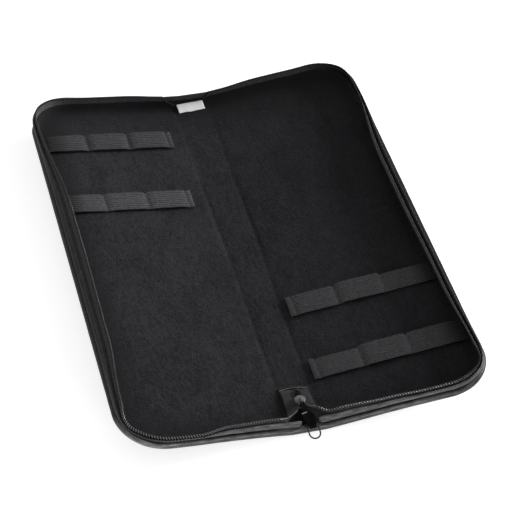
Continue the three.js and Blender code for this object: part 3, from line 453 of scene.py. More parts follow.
class Shading:
    """Fills in the nodes of one material with short calls."""

    def __init__(self, name: str) -> None:
        """Starts an empty material with an output and a Principled shader.

        Args:
            name: The material's name.
        """
        self.material = bpy.data.materials.new(name)
        self.material.use_nodes = True
        self.tree = self.material.node_tree
        self.tree.nodes.clear()
        output = self.tree.nodes.new("ShaderNodeOutputMaterial")
        self.shader = self.tree.nodes.new("ShaderNodeBsdfPrincipled")
        self.tree.links.new(self.shader.outputs["BSDF"], output.inputs["Surface"])

    def add(self, kind: str, inputs: dict, **settings: object) -> bpy.types.Node:
        """Adds a node and fills its inputs.

        Args:
            kind: The node's type, without ShaderNode.
            inputs: A value or another node's output for each named or numbered input.
            settings: The node's own settings.

        Returns:
            The node.
        """
        node = self.tree.nodes.new(f"ShaderNode{kind}")
        for key, value in settings.items():
            setattr(node, key, value)
        for key, value in inputs.items():
            self.feed(node.inputs[key], value)
        return node

    def feed(self, socket: Socket, value: object) -> None:
        """Fills a socket.

        Args:
            socket: The socket.
            value: Another node's output, or the value that it is set to.
        """
        if isinstance(value, Socket):
            self.tree.links.new(value, socket)
        else:
            socket.default_value = value

    def maths(self, operation: str, first: object, second: object = 0.0, clamp: bool = False) -> Socket:
        """Adds a Math node and returns its output."""
        node = self.add("Math", {0: first, 1: second}, operation=operation, use_clamp=clamp)
        return node.outputs[0]

    def times(self, *factors: object, clamp: bool = False) -> Socket:
        """Multiplies factors one after the other.

        Args:
            factors: Two or more outputs or numbers.
            clamp: Whether the last product is held between 0 and 1.

        Returns:
            The product.
        """
        *before, last = factors
        product = self.times(*before) if len(before) > 1 else before[0]
        return self.maths("MULTIPLY", product, last, clamp)

    def total(self, *terms: Socket) -> Socket:
        """Adds terms up, from the first to the last."""
        *before, last = terms
        return self.maths("ADD", self.total(*before) if len(before) > 1 else before[0], last)

    def place(self, unfolded: bool = False, scale: tuple = (1.0, 1.0, 1.0)) -> Socket:
        """Gives scaled places in metres on the object, or from the UV map when unfolded."""
        source = self.add("TexCoord", {}).outputs["UV" if unfolded else "Object"]
        return self.add("Mapping", {"Vector": source, "Scale": scale}).outputs["Vector"]

    def axes(self, place: Socket) -> tuple[Socket, Socket, Socket]:
        """Splits a vector into its X, Y and Z."""
        return tuple(self.add("SeparateXYZ", {"Vector": place}).outputs)

    def noise(self, kind: Noise) -> Socket:
        """Adds a noise.

        Args:
            kind: Its settings.

        Returns:
            The noise as a number.
        """
        inputs = {
            "Vector": self.place(kind.unfolded, kind.stretch), "Scale": 1.0 / (kind.feature * MM),
            "Detail": kind.detail, "Roughness": kind.rough, "Distortion": kind.swirl,
        }
        return self.add("TexNoise", inputs).outputs[0]

    def wave(self, place: Socket, pitch: float) -> Socket:
        """Gives the sine of a place in metres, with so many millimetres to a turn."""
        return self.maths("SINE", self.times(place, TURN / (pitch * MM)))

    def ramp(self, value: Socket, zone: tuple, to: tuple = (0.0, 1.0)) -> Socket:
        """Maps a number from one range to another and holds it there."""
        ends = {"From Min": zone[0], "From Max": zone[1], "To Min": to[0], "To Max": to[1]}
        return self.add("MapRange", {"Value": value, **ends}, clamp=True).outputs["Result"]

    def tint(self, share: Socket, first: tuple | Socket, second: tuple) -> Socket:
        """Mixes a colour, or an output with one, and a second colour by the second's share."""
        colours = {6: first if isinstance(first, Socket) else (*first, 1.0), 7: (*second, 1.0)}
        return self.add("Mix", {"Factor": share, **colours}, data_type="RGBA").outputs[2]

    def relief(self, height: Socket, depth: float, under: Socket | None = None) -> Socket:
        """Turns a height from 0 to 1 into a bump.

        Args:
            height: The height.
            depth: How deep it is, in millimetres.
            under: Another bump's normal that this one lies on.

        Returns:
            The normal.
        """
        inputs = {"Height": height, "Distance": depth * MM, "Strength": 1.0}
        if under is not None:
            inputs["Normal"] = under
        return self.add("Bump", inputs).outputs["Normal"]

    def finish(self, **values: object) -> Material:
        """Sets the shader's sockets and returns the material.

        Args:
            values: A number, a colour or an output that varies over the surface, by the
                socket's name with underscores for spaces.

        Returns:
            The material.
        """
        for key, value in values.items():
            self.feed(self.shader.inputs[key.replace("_", " ")], value)
        return self.material


@dataclass(frozen=True)
class Leatherette:
    """Grained black coated cloth, from the dull cover to the glossy rolled binding.

    In every finish, a spread is the part of a noise that a ramp takes up, and a zone is two
    places in metres on the case that a change runs between.
    """

    name: str
    tone: float
    rough: float
    grain: float
    grain_depth: float
    shine: float = 0.3
    polish: float = 0.0
    corner_polish: float = 1.0
    right_polish: float = 0.55
    pucker: float = 0.0
    # The share of colour and shine kept on the right wall, which is darkened as painted shade.
    right_shade_share: float = 0.08
    dark: tuple = (0.28, 0.28, 0.31)
    light: tuple = (1.9, 1.9, 2.0)
    pulls: Noise = Noise(3.0, 2.0, stretch=(1.0, 0.3, 1.0), unfolded=True)
    patches: Noise = Noise(3.2, 4.0, 0.65, stretch=(0.28, 1.0, 1.0), unfolded=True)
    patch_spread: tuple = (0.38, 0.62)
    near_zone: tuple = (-0.2, -0.23)
    corner_zone: tuple = (-0.105, -0.14)
    # Where the painted shade on the right wall comes in, across X.
    right_shade_zone: tuple = (0.11, 0.15)

    def build(self) -> Material:
        """Makes the material: grain cells, fine wrinkles, dull patches, a polished near end and painted
        shade on the right wall.

        Returns:
            The material.
        """
        shade = Shading(self.name)
        here = shade.place()
        x, y, _ = shade.axes(here)
        inputs = {"Vector": here, "Scale": 1.0 / (self.grain * MM), "Randomness": 0.9}
        cells = shade.add("TexVoronoi", inputs, feature="SMOOTH_F1").outputs["Distance"]
        wrinkles = shade.noise(Noise(self.grain * 2.5, 5.0, 0.6))
        grain = shade.relief(cells, self.grain_depth)
        normal = shade.relief(wrinkles, self.grain_depth * 1.6, grain)
        if self.pucker > 0.0:
            normal = shade.relief(shade.noise(self.pulls), self.pucker, normal)
        patches = shade.noise(self.patches)
        near = shade.times(
            shade.ramp(y, self.near_zone, (0.0, self.polish)),
            shade.ramp(x, self.corner_zone, (1.0, self.corner_polish)),
            shade.ramp(x, (0.09, 0.15), (1.0, self.right_polish)),
            shade.ramp(patches, (0.4, 0.62), (0.5, 1.35)),
        )
        rough = shade.ramp(patches, (0.3, 0.7), (self.rough - 0.05, self.rough + 0.09))
        # Painted shade: the right wall's colour and shine are darkened.
        painted_right_shade = shade.ramp(x, self.right_shade_zone, (1.0, self.right_shade_share))
        share = shade.times(painted_right_shade, shade.ramp(patches, self.patch_spread, (0.2, 1.0)))
        return shade.finish(
            Base_Color=shade.tint(share, scaled(self.tone, self.dark), scaled(self.tone, self.light)),
            Roughness=shade.maths("SUBTRACT", rough, shade.times(near, 0.12)),
            Normal=normal,
            Specular_IOR_Level=shade.total(near, shade.times(painted_right_shade, self.shine)),
            Coat_Weight=shade.times(near, 0.8, clamp=True),
            Coat_Roughness=0.28,
        )


@dataclass(frozen=True)
class BrushedFelt:
    """The dull brushed lining: swirled strokes, short fibres and a few specks of lint.

    Painted shade darkens it on the right half, beside the left wall and at both ends.
    """

    name: str = "brushed_felt"
    dark: tuple = (0.0095, 0.0095, 0.01102)
    light: tuple = (0.032, 0.03232, 0.0368)
    lint: tuple = (0.08, 0.081, 0.086)
    clouds: Noise = Noise(24.0, 3.0, 0.6, 0.6, (1.0, 0.5, 1.0))
    strokes: Noise = Noise(3.4, 3.0, 0.7, 1.1, (1.0, 0.45, 1.0))
    clumps: Noise = Noise(1.8, 3.0, 0.8, 0.5)
    fibres: Noise = Noise(1.1, 3.0, 0.75, 1.2, (0.5, 1.0, 1.0))
    weights: tuple = (0.18, 0.34, 0.3, 0.18)
    nap_spread: tuple = (0.43, 0.575)
    # Zones and shares of painted shade: the right half, the left wall's shadow and both ends.
    right_shade_zone: tuple = (0.0, 0.14)
    right_shade_share: float = 0.55
    wall_shadow_zone: tuple = (-0.152, -0.13)
    near_zone: tuple = (-0.226, -0.2)
    far_zone: tuple = (0.175, 0.222)
    end_shade_share: float = 0.2
    lint_pitch: float = 9.0
    lint_rarity: float = 0.8
    lint_size: float = 0.045

    def build(self) -> Material:
        """Makes the material from swirled noise at four sizes, darkened in places by painted shade.

        Returns:
            The material.
        """
        shade = Shading(self.name)
        here = shade.place()
        x, y, _ = shade.axes(here)
        sizes = [shade.noise(kind) for kind in (self.clouds, self.strokes, self.clumps, self.fibres)]
        nap = shade.total(*(shade.times(part, weight) for part, weight in zip(sizes, self.weights)))
        _, strokes, clumps, fibres = sizes
        # Painted shade darkens the right half, the strip in the left wall's shadow and both ends.
        share = shade.times(
            shade.ramp(nap, self.nap_spread),
            shade.ramp(x, self.right_shade_zone, (1.0, self.right_shade_share)),
            shade.ramp(x, self.wall_shadow_zone),
            shade.ramp(y, self.near_zone, (self.end_shade_share, 1.0)),
            shade.ramp(y, self.far_zone, (1.0, self.end_shade_share)),
        )
        inputs = {"Vector": here, "Scale": 1.0 / (self.lint_pitch * MM), "Randomness": 1.0}
        cell = shade.add("TexVoronoi", inputs).outputs
        chance = shade.add("SeparateColor", {"Color": cell["Color"]}).outputs[0]
        size = shade.ramp(chance, (self.lint_rarity, 1.0), (0.0, self.lint_size))
        speck = shade.maths("LESS_THAN", cell["Distance"], size)
        base = shade.tint(share, self.dark, self.light)
        return shade.finish(
            Base_Color=shade.tint(shade.times(speck, 0.7), base, self.lint),
            Normal=shade.relief(fibres, 0.25, shade.relief(clumps, 0.7, shade.relief(strokes, 0.6))),
            Roughness=0.97,
            Specular_IOR_Level=0.1,
            Sheen_Weight=0.03,
            Sheen_Roughness=0.6,
        )


@dataclass(frozen=True)
class RibbedElastic:
    """Knitted elastic: rubber ribs run along it and fine picks cross them.

    Pairs of weights are the left half's and the right's, where the ribs are flatter. The colour is
    painted darker as shade on the right half and as shadow beside the walls.
    """

    name: str = "ribbed_elastic"
    ribs_across: float = 9.0
    width: float = 25.0
    pick: float = 2.1
    wander: float = 6.5
    wandering: Noise = Noise(3.4, 3.0, 0.65, stretch=(0.22, 1.0, 1.0), unfolded=True)
    looseness: Noise = Noise(1.5, 3.0, 0.75, stretch=(0.5, 1.0, 1.0), unfolded=True)
    wearing: Noise = Noise(7.0, 3.0, 0.6, unfolded=True)
    middle_zone: tuple = (-0.01, 0.01)
    rib_weights: tuple = (0.3, 0.18)
    pick_weights: tuple = (0.2, 0.38)
    loose_weights: tuple = (-0.15, 0.75)
    # The right half's share of colour, painted darker as shade.
    side_shade_shares: tuple = (1.0, 0.8)
    cut_edge: tuple = (0.001, 0.0014)
    # Beside the walls the colour goes dark, a painted shadow.
    wall_shadow_zone: tuple = (0.132, 0.147)
    far_zone: tuple = (0.1, 0.15)
    far_share: float = 0.68
    dark: tuple = (0.005, 0.005, 0.006)
    light: tuple = (0.078, 0.079, 0.084)

    def build(self) -> Material:
        """Makes the material. A rib is a sine across the fabric, a pick one along it, shifted by rib.

        Returns:
            The material.
        """
        shade = Shading(self.name)
        along, across, _ = shade.axes(shade.place(unfolded=True))
        x, y, _ = shade.axes(shade.place())
        phase = shade.times(across, TURN * self.ribs_across / (self.width * MM))
        drift = shade.total(phase, shade.times(shade.noise(self.wandering), self.wander))
        rib = shade.ramp(shade.maths("COSINE", drift), (0.9, -0.6))
        half_step = shade.times(shade.maths("ROUND", shade.times(phase, 1.0 / np.pi)), np.pi)
        pick_phase = shade.total(shade.times(along, TURN / (self.pick * MM)), half_step)
        pick = shade.ramp(shade.maths("SINE", pick_phase), (-1.0, 1.0))
        wear = shade.noise(self.wearing)
        weave = shade.total(
            shade.times(rib, shade.ramp(x, self.middle_zone, self.rib_weights)),
            shade.times(pick, shade.ramp(x, self.middle_zone, self.pick_weights)),
            shade.ramp(shade.noise(self.looseness), (0.3, 0.7), self.loose_weights),
        )
        worn = shade.ramp(wear, (0.25, 0.7), (0.75, 1.1))
        share = shade.times(shade.ramp(weave, (0.12, 0.85), (0.02, 1.0)), worn, clamp=True)
        edge = shade.total(along, shade.times(wear, 0.001))
        # Painted shadow beside the walls and painted shade on the right half darken the colour.
        share = shade.times(
            shade.maths("MAXIMUM", share, shade.ramp(edge, self.cut_edge, (1.0, 0.0))),
            shade.ramp(shade.maths("ABSOLUTE", x), self.wall_shadow_zone, (1.0, 0.0)),
            shade.ramp(y, self.far_zone, (1.0, self.far_share)),
            shade.ramp(x, self.middle_zone, self.side_shade_shares),
        )
        return shade.finish(
            Base_Color=shade.tint(share, self.dark, self.light),
            Normal=shade.relief(pick, 0.12, shade.relief(rib, 0.35)),
            Roughness=0.8,
            Specular_IOR_Level=0.25,
            Sheen_Weight=0.04,
            Sheen_Roughness=0.5,
        )


@dataclass(frozen=True)
class WovenTape:
    """Zip tape: a fine twill whose rows lean one way and then the other."""

    name: str = "woven_tape"
    tone: float = 0.034
    pitch: float = 0.55
    turn_back: float = 2.2
    weights: tuple = (0.7, 0.3)
    dust: Noise = Noise(2.0, 4.0, 0.7, stretch=(0.6, 1.0, 1.0), unfolded=True)
    # On the right wall the colour, shine and sheen are darkened as painted shade.
    right_shade_zone: tuple = (0.11, 0.145)
    right_shade_share: float = 0.04
    dark: tuple = (0.4, 0.4, 0.4)
    light: tuple = (2.6, 2.6, 2.75)

    def build(self) -> Material:
        """Makes the material from slanted sines on the unfolded tape, crossed by its picks, with
        painted shade on the right wall.

        Returns:
            The material.
        """
        shade = Shading(self.name)
        along, across, _ = shade.axes(shade.place(unfolded=True))
        slant = shade.total(along, shade.maths("PINGPONG", across, self.turn_back * MM))
        twill = shade.ramp(shade.wave(slant, self.pitch), (-1.0, 1.0))
        cross = shade.ramp(shade.wave(across, self.pitch / 1.2), (-1.0, 1.0))
        weave = shade.total(shade.times(twill, self.weights[0]), shade.times(cross, self.weights[1]))
        dusty = shade.ramp(shade.noise(self.dust), (0.38, 0.62), (0.35, 1.4))
        share = shade.times(weave, dusty, clamp=True)
        # Painted shade on the right wall.
        painted_right_shade = shade.ramp(shade.axes(shade.place())[0], self.right_shade_zone, (1.0, self.right_shade_share))
        dark, light = scaled(self.tone, self.dark), scaled(self.tone, self.light)
        return shade.finish(
            Base_Color=shade.tint(shade.times(share, painted_right_shade), dark, light),
            Normal=shade.relief(weave, 0.12),
            Roughness=0.82,
            Specular_IOR_Level=shade.times(painted_right_shade, 0.3),
            Sheen_Weight=shade.times(painted_right_shade, 0.05),
        )


@dataclass(frozen=True)
class MouldedNylon:
    """Black nylon, from the coil's thread to the sewing. The coil's tone and shine are darkened as
    painted shade away from its near end and on the right wall.
    """

    name: str
    tone: float
    rough: float
    shine: float = 0.7
    # Shares of tone and shine kept away from the near end and on the right wall; the rest is painted
    # shade.
    far_share: float = 1.0
    right_shade_share: float = 1.0
    patches: Noise = Noise(2.1, 3.0, 0.6)
    patch_spread: tuple = (0.3, 0.7)
    near_zone: tuple = (-0.222, -0.195)
    right_shade_zone: tuple = (0.12, 0.15)
    dark: tuple = (0.05, 0.05, 0.05)
    light: tuple = (1.7, 1.7, 1.8)

    def build(self) -> Material:
        """Makes the material, its tone and shine a little uneven from tooth to tooth and darkened in
        places by painted shade.

        Returns:
            The material.
        """
        shade = Shading(self.name)
        x, y, _ = shade.axes(shade.place())
        patches = shade.noise(self.patches)
        # Painted shade: the coil darkens away from its near end and on the right wall.
        painted_shade_kept = shade.times(
            shade.ramp(y, self.near_zone, (1.0, self.far_share)),
            shade.ramp(x, self.right_shade_zone, (1.0, self.right_shade_share)),
        )
        share = shade.times(painted_shade_kept, shade.ramp(patches, self.patch_spread, (0.55, 1.0)))
        return shade.finish(
            Base_Color=shade.tint(share, scaled(self.tone, self.dark), scaled(self.tone, self.light)),
            Roughness=shade.ramp(patches, self.patch_spread, (self.rough - 0.05, self.rough + 0.1)),
            Normal=shade.relief(patches, 0.03),
            Specular_IOR_Level=shade.times(painted_shade_kept, self.shine),
        )


@dataclass(frozen=True)
class Metal:
    """Cast or drawn metal, plated or lacquered. A light grey one stands for painted highlights along
    raised edges.
    """

    name: str
    tone: tuple
    metallic: float
    rough: float
    shine: float = 0.5
    bare_from: float | None = None
    bare_tone: tuple = (0.15, 0.15, 0.15)
    bare_fade: float = 0.0005
    lightest: float = 1.35
    drifts: Noise = Noise(4.0, 3.0, 0.6)
    scratches: Noise = Noise(0.35, 2.0, 0.6, stretch=(1.0, 0.12, 1.0))

    def build(self) -> Material:
        """Makes the material from casting grain, fine scratches, a drift in tone and a bare end.

        Returns:
            The material.
        """
        shade = Shading(self.name)
        drift, scratch = shade.noise(self.drifts), shade.noise(self.scratches)
        light = scaled(self.lightest, self.tone)
        colour = shade.tint(shade.ramp(drift, (0.35, 0.7)), self.tone, light)
        if self.bare_from is not None:
            along = shade.axes(shade.place())[1]
            bare = shade.ramp(along, (self.bare_from, self.bare_from + self.bare_fade))
            colour = shade.tint(bare, colour, self.bare_tone)
        return shade.finish(
            Base_Color=colour,
            Roughness=shade.ramp(scratch, (0.3, 0.7), (self.rough - 0.06, self.rough + 0.1)),
            Normal=shade.relief(scratch, 0.008, shade.relief(drift, 0.05)),
            Metallic=self.metallic,
            Specular_IOR_Level=self.shine,
        )


@dataclass(frozen=True)
class Satin:
    """The bare label's white woven satin."""

    name: str = "label_satin"
    pitch: float = 0.42
    soil: Noise = Noise(5.0, 3.0, 0.6)
    clean: tuple = (1.0, 1.0, 0.99)
    soiled: tuple = (0.95, 0.95, 0.945)

    def build(self) -> Material:
        """Makes the material from fine threads both ways on the unfolded label.

        Returns:
            The material.
        """
        shade = Shading(self.name)
        along, across, _ = shade.axes(shade.place(unfolded=True))
        cross = shade.times(shade.wave(across, self.pitch), 0.5)
        threads = shade.ramp(shade.total(shade.wave(along, self.pitch), cross), (-1.5, 1.5))
        soil = shade.ramp(shade.noise(self.soil), (0.35, 0.75))
        return shade.finish(
            Base_Color=shade.tint(soil, self.clean, self.soiled),
            Normal=shade.relief(threads, 0.05),
            Roughness=0.5,
            Sheen_Weight=0.2,
        )


class Finishes:
    """Every material of the case, made once."""

    def __init__(self) -> None:
        """Builds them all."""
        self.cover = Leatherette("cover_leatherette", 0.018, 0.55, 0.7, 0.07, shine=0.2).build()
        self.roll = Leatherette(
            "roll_leatherette", 0.017, 0.5, 0.55, 0.04,
            shine=0.18, polish=0.45, corner_polish=3.0, pucker=0.15,
        ).build()
        self.binding = Leatherette(
            "band_leatherette", 0.017, 0.52, 0.55, 0.04,
            shine=0.12, polish=0.6, corner_polish=0.0, pucker=0.45,
        ).build()
        self.felt = BrushedFelt().build()
        self.elastic = RibbedElastic().build()
        self.tape = WovenTape().build()
        self.tail = WovenTape("tail_tape", tone=0.016).build()
        self.coil = MouldedNylon("coil_nylon", 0.1, 0.2, 0.9, far_share=0.26, right_shade_share=0.1).build()
        self.core = MouldedNylon("coil_core", 0.004, 0.8, 0.2).build()
        self.thread = MouldedNylon("sewing_thread", 0.025, 0.55).build()
        self.tuft = MouldedNylon("loose_thread", 0.007, 0.7, 0.3).build()
        self.board = MouldedNylon("fibre_board", 0.03, 0.8).build()
        self.slider = Metal("slider_enamel", (0.15, 0.15, 0.155), 0.0, 0.7, 0.2).build()
        self.puller = Metal(
            "puller_lacquer", (0.004, 0.004, 0.0045), 0.0, 0.6, 0.03, bare_from=-0.2094
        ).build()
        # A light grey metal that paints highlights along raised edges.
        self.worn = Metal("worn_edge", (0.25, 0.25, 0.255), 0.6, 0.4).build()
        self.wire = Metal("ring_wire", (0.008, 0.008, 0.009), 0.0, 0.4, 0.3).build()
        self.label = Satin().build()


class Slot(Enum):
    """The record's material slots."""

    LEATHERETTE = "leatherette"
    FELT = "felt"
    BOARD = "board"
    TAPE = "tape"
    COIL = "coil"
    WEBBING = "webbing"
    LABEL = "label"
    SLIDER = "slider"
    PULLER = "puller"


def dress(
    piece: Piece, material: Material, slot: Slot, *nodes: str, body: str = ""
) -> None:
    """Gives a piece its one material, hides the CAD nodes that it replaces and hangs it on its body.

    Args:
        piece: The piece.
        material: Its finish.
        slot: The slot that the finish belongs to; not used.
        nodes: The CAD nodes that it replaces.
        body: The body that it rides, unless it is a CAD node or stays unattached.
    """
    piece.data.materials.clear()
    piece.data.materials.append(material)
    if nodes:
        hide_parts(*nodes)
    if body:
        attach(piece, body)
    log.info("%s made, %d faces", piece.name, len(piece.data.polygons))


# The shape of the open case


@dataclass(frozen=True)
class CaseShape:
    """The case's main sizes, the maps from its unfolded layout to space, and how it folds.

    The leans are the rim's at the lean knots. A set is how far use has moved a corner across
    and along. The crease's ease is how far to both sides of a crease a layer bends; the other eases are
    handed to fold.
    """

    length: float = 471.0
    half_width: float = 150.0
    spine_width: float = 31.0
    corner_radius: float = 42.0
    rest_fold: float = np.radians(7.5)
    hinge_height: float = 3.6
    rim_height: float = 18.8
    roll_diameter: float = 7.0
    floor_set_in: float = 7.3
    crease_ease: float = 4.0
    crease_steps: int = 161
    lean_power: float = 1.5
    rigid_start: float = 14.0
    left_leans: tuple = (0.8, -1.6, -8.3, -6.8, 3.2, 9.0, 10.2, 10.2, -0.5, -4.0, -0.3, -0.3, 3.0)
    right_leans: tuple = (2.6, -0.8, -2.8, -1.0, 6.5, 9.8, 11.6, 11.6, 1.0, -3.0, -0.3, -0.3, 3.0)
    left_sets: tuple = ((-3.2, -4.6), (3.4, -0.8))
    right_sets: tuple = ((1.2, -1.9), (-3.0, -1.0))
    left_set_start: float = 12.0
    right_set_start: float = 55.0
    set_margin: float = 15.0
    corner_start: float = 0.6
    floor_ease: float = 3.0
    roll_ease: float = 4.2
    wall_outer: float = 30.0
    wall_inner: float = 1.0

    @property
    def edge_run(self) -> float:
        """The straight run of a near or far edge."""
        return self.half_width - self.corner_radius

    @property
    def arc_run(self) -> float:
        """The run round a corner."""
        return self.corner_radius * np.pi / 2

    @property
    def side_run(self) -> float:
        """The straight run of a long side."""
        return self.length - 2 * self.corner_radius

    @property
    def side_start(self) -> float:
        """The run from the near crease to the long side's near end."""
        return self.edge_run + self.arc_run

    @property
    def side_end(self) -> float:
        """The run from the near crease to the long side's far end."""
        return self.side_start + self.side_run

    @property
    def full_run(self) -> float:
        """The run round a half, from crease to crease."""
        return 2 * self.edge_run + 2 * self.arc_run + self.side_run

    @property
    def near_end(self) -> float:
        """Where the near end is, along the case."""
        return -self.length / 2

    @property
    def half_spine(self) -> float:
        """From the spine's middle to a crease."""
        return self.spine_width / 2

    def lean_knots(self) -> Array:
        """Gives the runs at which the rim's lean is set.

        Returns:
            Runs from the near crease to the far one.
        """
        edge, arc = self.edge_run, self.arc_run
        near = [self.rigid_start, edge / 2, edge * 0.8, edge + arc / 2]
        side = [self.side_start + self.side_run * share for share in (0.0, 0.2, 0.5, 0.67)]
        far = [self.side_end, self.side_end + arc / 2]
        back = [self.full_run - run for run in (edge * 0.8, edge / 2, self.rigid_start)]
        return np.array(near + side + far + back)

    def lean(self, side: Side, run: Array) -> Array:
        """Gives the rim's lean at a run, eased from knot to knot by half a cosine wave.

        Args:
            side: Which half.
            run: Distances from the near crease.

        Returns:
            The leans inwards.
        """
        knots = self.lean_knots()
        leans = np.array(self.left_leans if side is Side.LEFT else self.right_leans)
        after = np.clip(np.searchsorted(knots, run), 1, len(knots) - 1)
        share = np.clip((run - knots[after - 1]) / (knots[after] - knots[after - 1]), 0.0, 1.0)
        share = (1.0 - np.cos(np.pi * share)) / 2
        return leans[after - 1] + (leans[after] - leans[after - 1]) * share

    def outline(self, run: Array) -> tuple[Array, Array]:
        """Follows the outline of a half, which runs straight on over the spine at both ends.

        Args:
            run: Distances from the near crease, below zero on the spine.

        Returns:
            The points as across and along, and the ways inwards.
        """
        centre, middle = self.edge_run, self.length / 2 - self.corner_radius
        start, end, full = self.side_start, self.side_end, self.full_run
        near_turn = np.clip((run - centre) / self.corner_radius, 0.0, np.pi / 2) - np.pi / 2
        far_turn = np.clip((run - end) / self.corner_radius, 0.0, np.pi / 2)
        turn = np.where(run < start, near_turn, np.where(run < end, 0.0, far_turn))
        across = np.where(run < centre, run, np.where(run > full - centre, full - run, centre))
        along = np.where(run < start, -middle, np.where(run < end, run - start - middle, middle))
        outward = np.stack([np.cos(turn), np.sin(turn)], axis=-1)
        return np.stack([across, along], axis=-1) + self.corner_radius * outward, -outward

    def settled(self, side: Side, across: Array, along: Array) -> tuple[Array, Array]:
        """Moves places of the flat layout to where use has set the fabric a little out of true.

        Each end's move is eased in away from the crease. Along the left half it grows evenly
        from the middle to the end, and on the right half only near the corners.

        Args:
            side: Which half.
            across: Distances out from the crease.
            along: Places along the case.

        Returns:
            The moved distances across and along.
        """
        left = side is Side.LEFT
        start = self.left_set_start if left else self.right_set_start
        out = smoothstep((across - start) / (self.half_width - self.set_margin - start))
        share = np.abs(along) / (self.length / 2)
        corner = smoothstep((share - self.corner_start) / (1.0 - self.corner_start))
        near, far = self.left_sets if left else self.right_sets
        move = np.where(along < 0.0, near[0], far[0]) * (share if left else corner) * out
        slide = np.where(along < 0.0, near[1], far[1]) * corner * out
        return across + move, along + slide

    def unfold(self, side: Side, across: Array, along: Array, height: Array) -> Array:
        """Puts places of the flat layout where they lie at rest.

        The floor's line is the sum of short steps whose angle eases from level on the spine to
        the rest angle on the half. A height stands square to that line.

        Args:
            side: Which half.
            across: Distances out from the crease, below zero on the spine.
            along: Places along the case.
            height: Heights over the underside.

        Returns:
            Points in space.
        """
        across, along, height = np.broadcast_arrays(across, along, height)
        across, along = self.settled(side, across, along)
        steps = np.linspace(-self.crease_ease, self.crease_ease, self.crease_steps)
        bend = self.rest_fold * smoothstep((steps + self.crease_ease) / (2 * self.crease_ease))
        middle = (bend[1:] + bend[:-1]) / 2
        width = steps[1] - steps[0]
        line_out = steps[0] + np.concatenate([[0.0], np.cumsum(np.cos(middle) * width)])
        line_up = np.concatenate([[0.0], np.cumsum(np.sin(middle) * width)])
        held = np.clip(across, steps[0], steps[-1])
        beyond = across - held
        angle = np.interp(held, steps, bend)
        up = height - self.hinge_height
        out = np.interp(held, steps, line_out) + beyond * np.cos(angle) - up * np.sin(angle)
        rise = np.interp(held, steps, line_up) + beyond * np.sin(angle) + up * np.cos(angle)
        x = side.value * (self.half_spine + out)
        return np.stack([x, along, self.hinge_height + rise], axis=-1)

    def lean_share(self, height: Array) -> Array:
        """Gives the part of the lean at a height: none at the roll, all at the rim."""
        over = np.maximum(0.0, height - self.roll_diameter)
        return (over / (self.rim_height - self.roll_diameter)) ** self.lean_power

    def wall(self, side: Side, run: Array, inset: Array, height: Array) -> Array:
        """Puts places of the wall where they lie at rest.

        Args:
            side: Which half.
            run: Distances round the outline from the near crease.
            inset: Depths inwards from the outline.
            height: Heights over the underside.

        Returns:
            Points in space.
        """
        run, inset, height = np.broadcast_arrays(run, inset, height)
        point, inward = self.outline(run)
        depth = inset + self.lean(side, run) * self.lean_share(height)
        place = point + inward * depth[..., None]
        return self.unfold(side, place[..., 0], place[..., 1], height)

    def runs(self, start: float, end: float, step: float) -> Array:
        """Spaces stations evenly between two runs, about a step apart."""
        return np.linspace(start, end, max(2, int(round((end - start) / step)) + 1))

    def fold(self, piece: Piece, side: Side, outer: float, inner: float) -> None:
        """Bakes a finished piece's place into its mesh."""
        side.body
        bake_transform(piece)

    def fold_about(self, piece: Piece, side: Side, ease: float) -> None:
        """Hands a piece to fold, with distances so far to each side of the crease."""
        self.fold(piece, side, self.half_spine + ease, self.half_spine - ease)

    def fold_wall(self, piece: Piece, side: Side) -> None:
        """Hands what stands tall to fold, with distances over most of the spine's half."""
        self.fold(piece, side, self.wall_outer, self.wall_inner)


# The floor


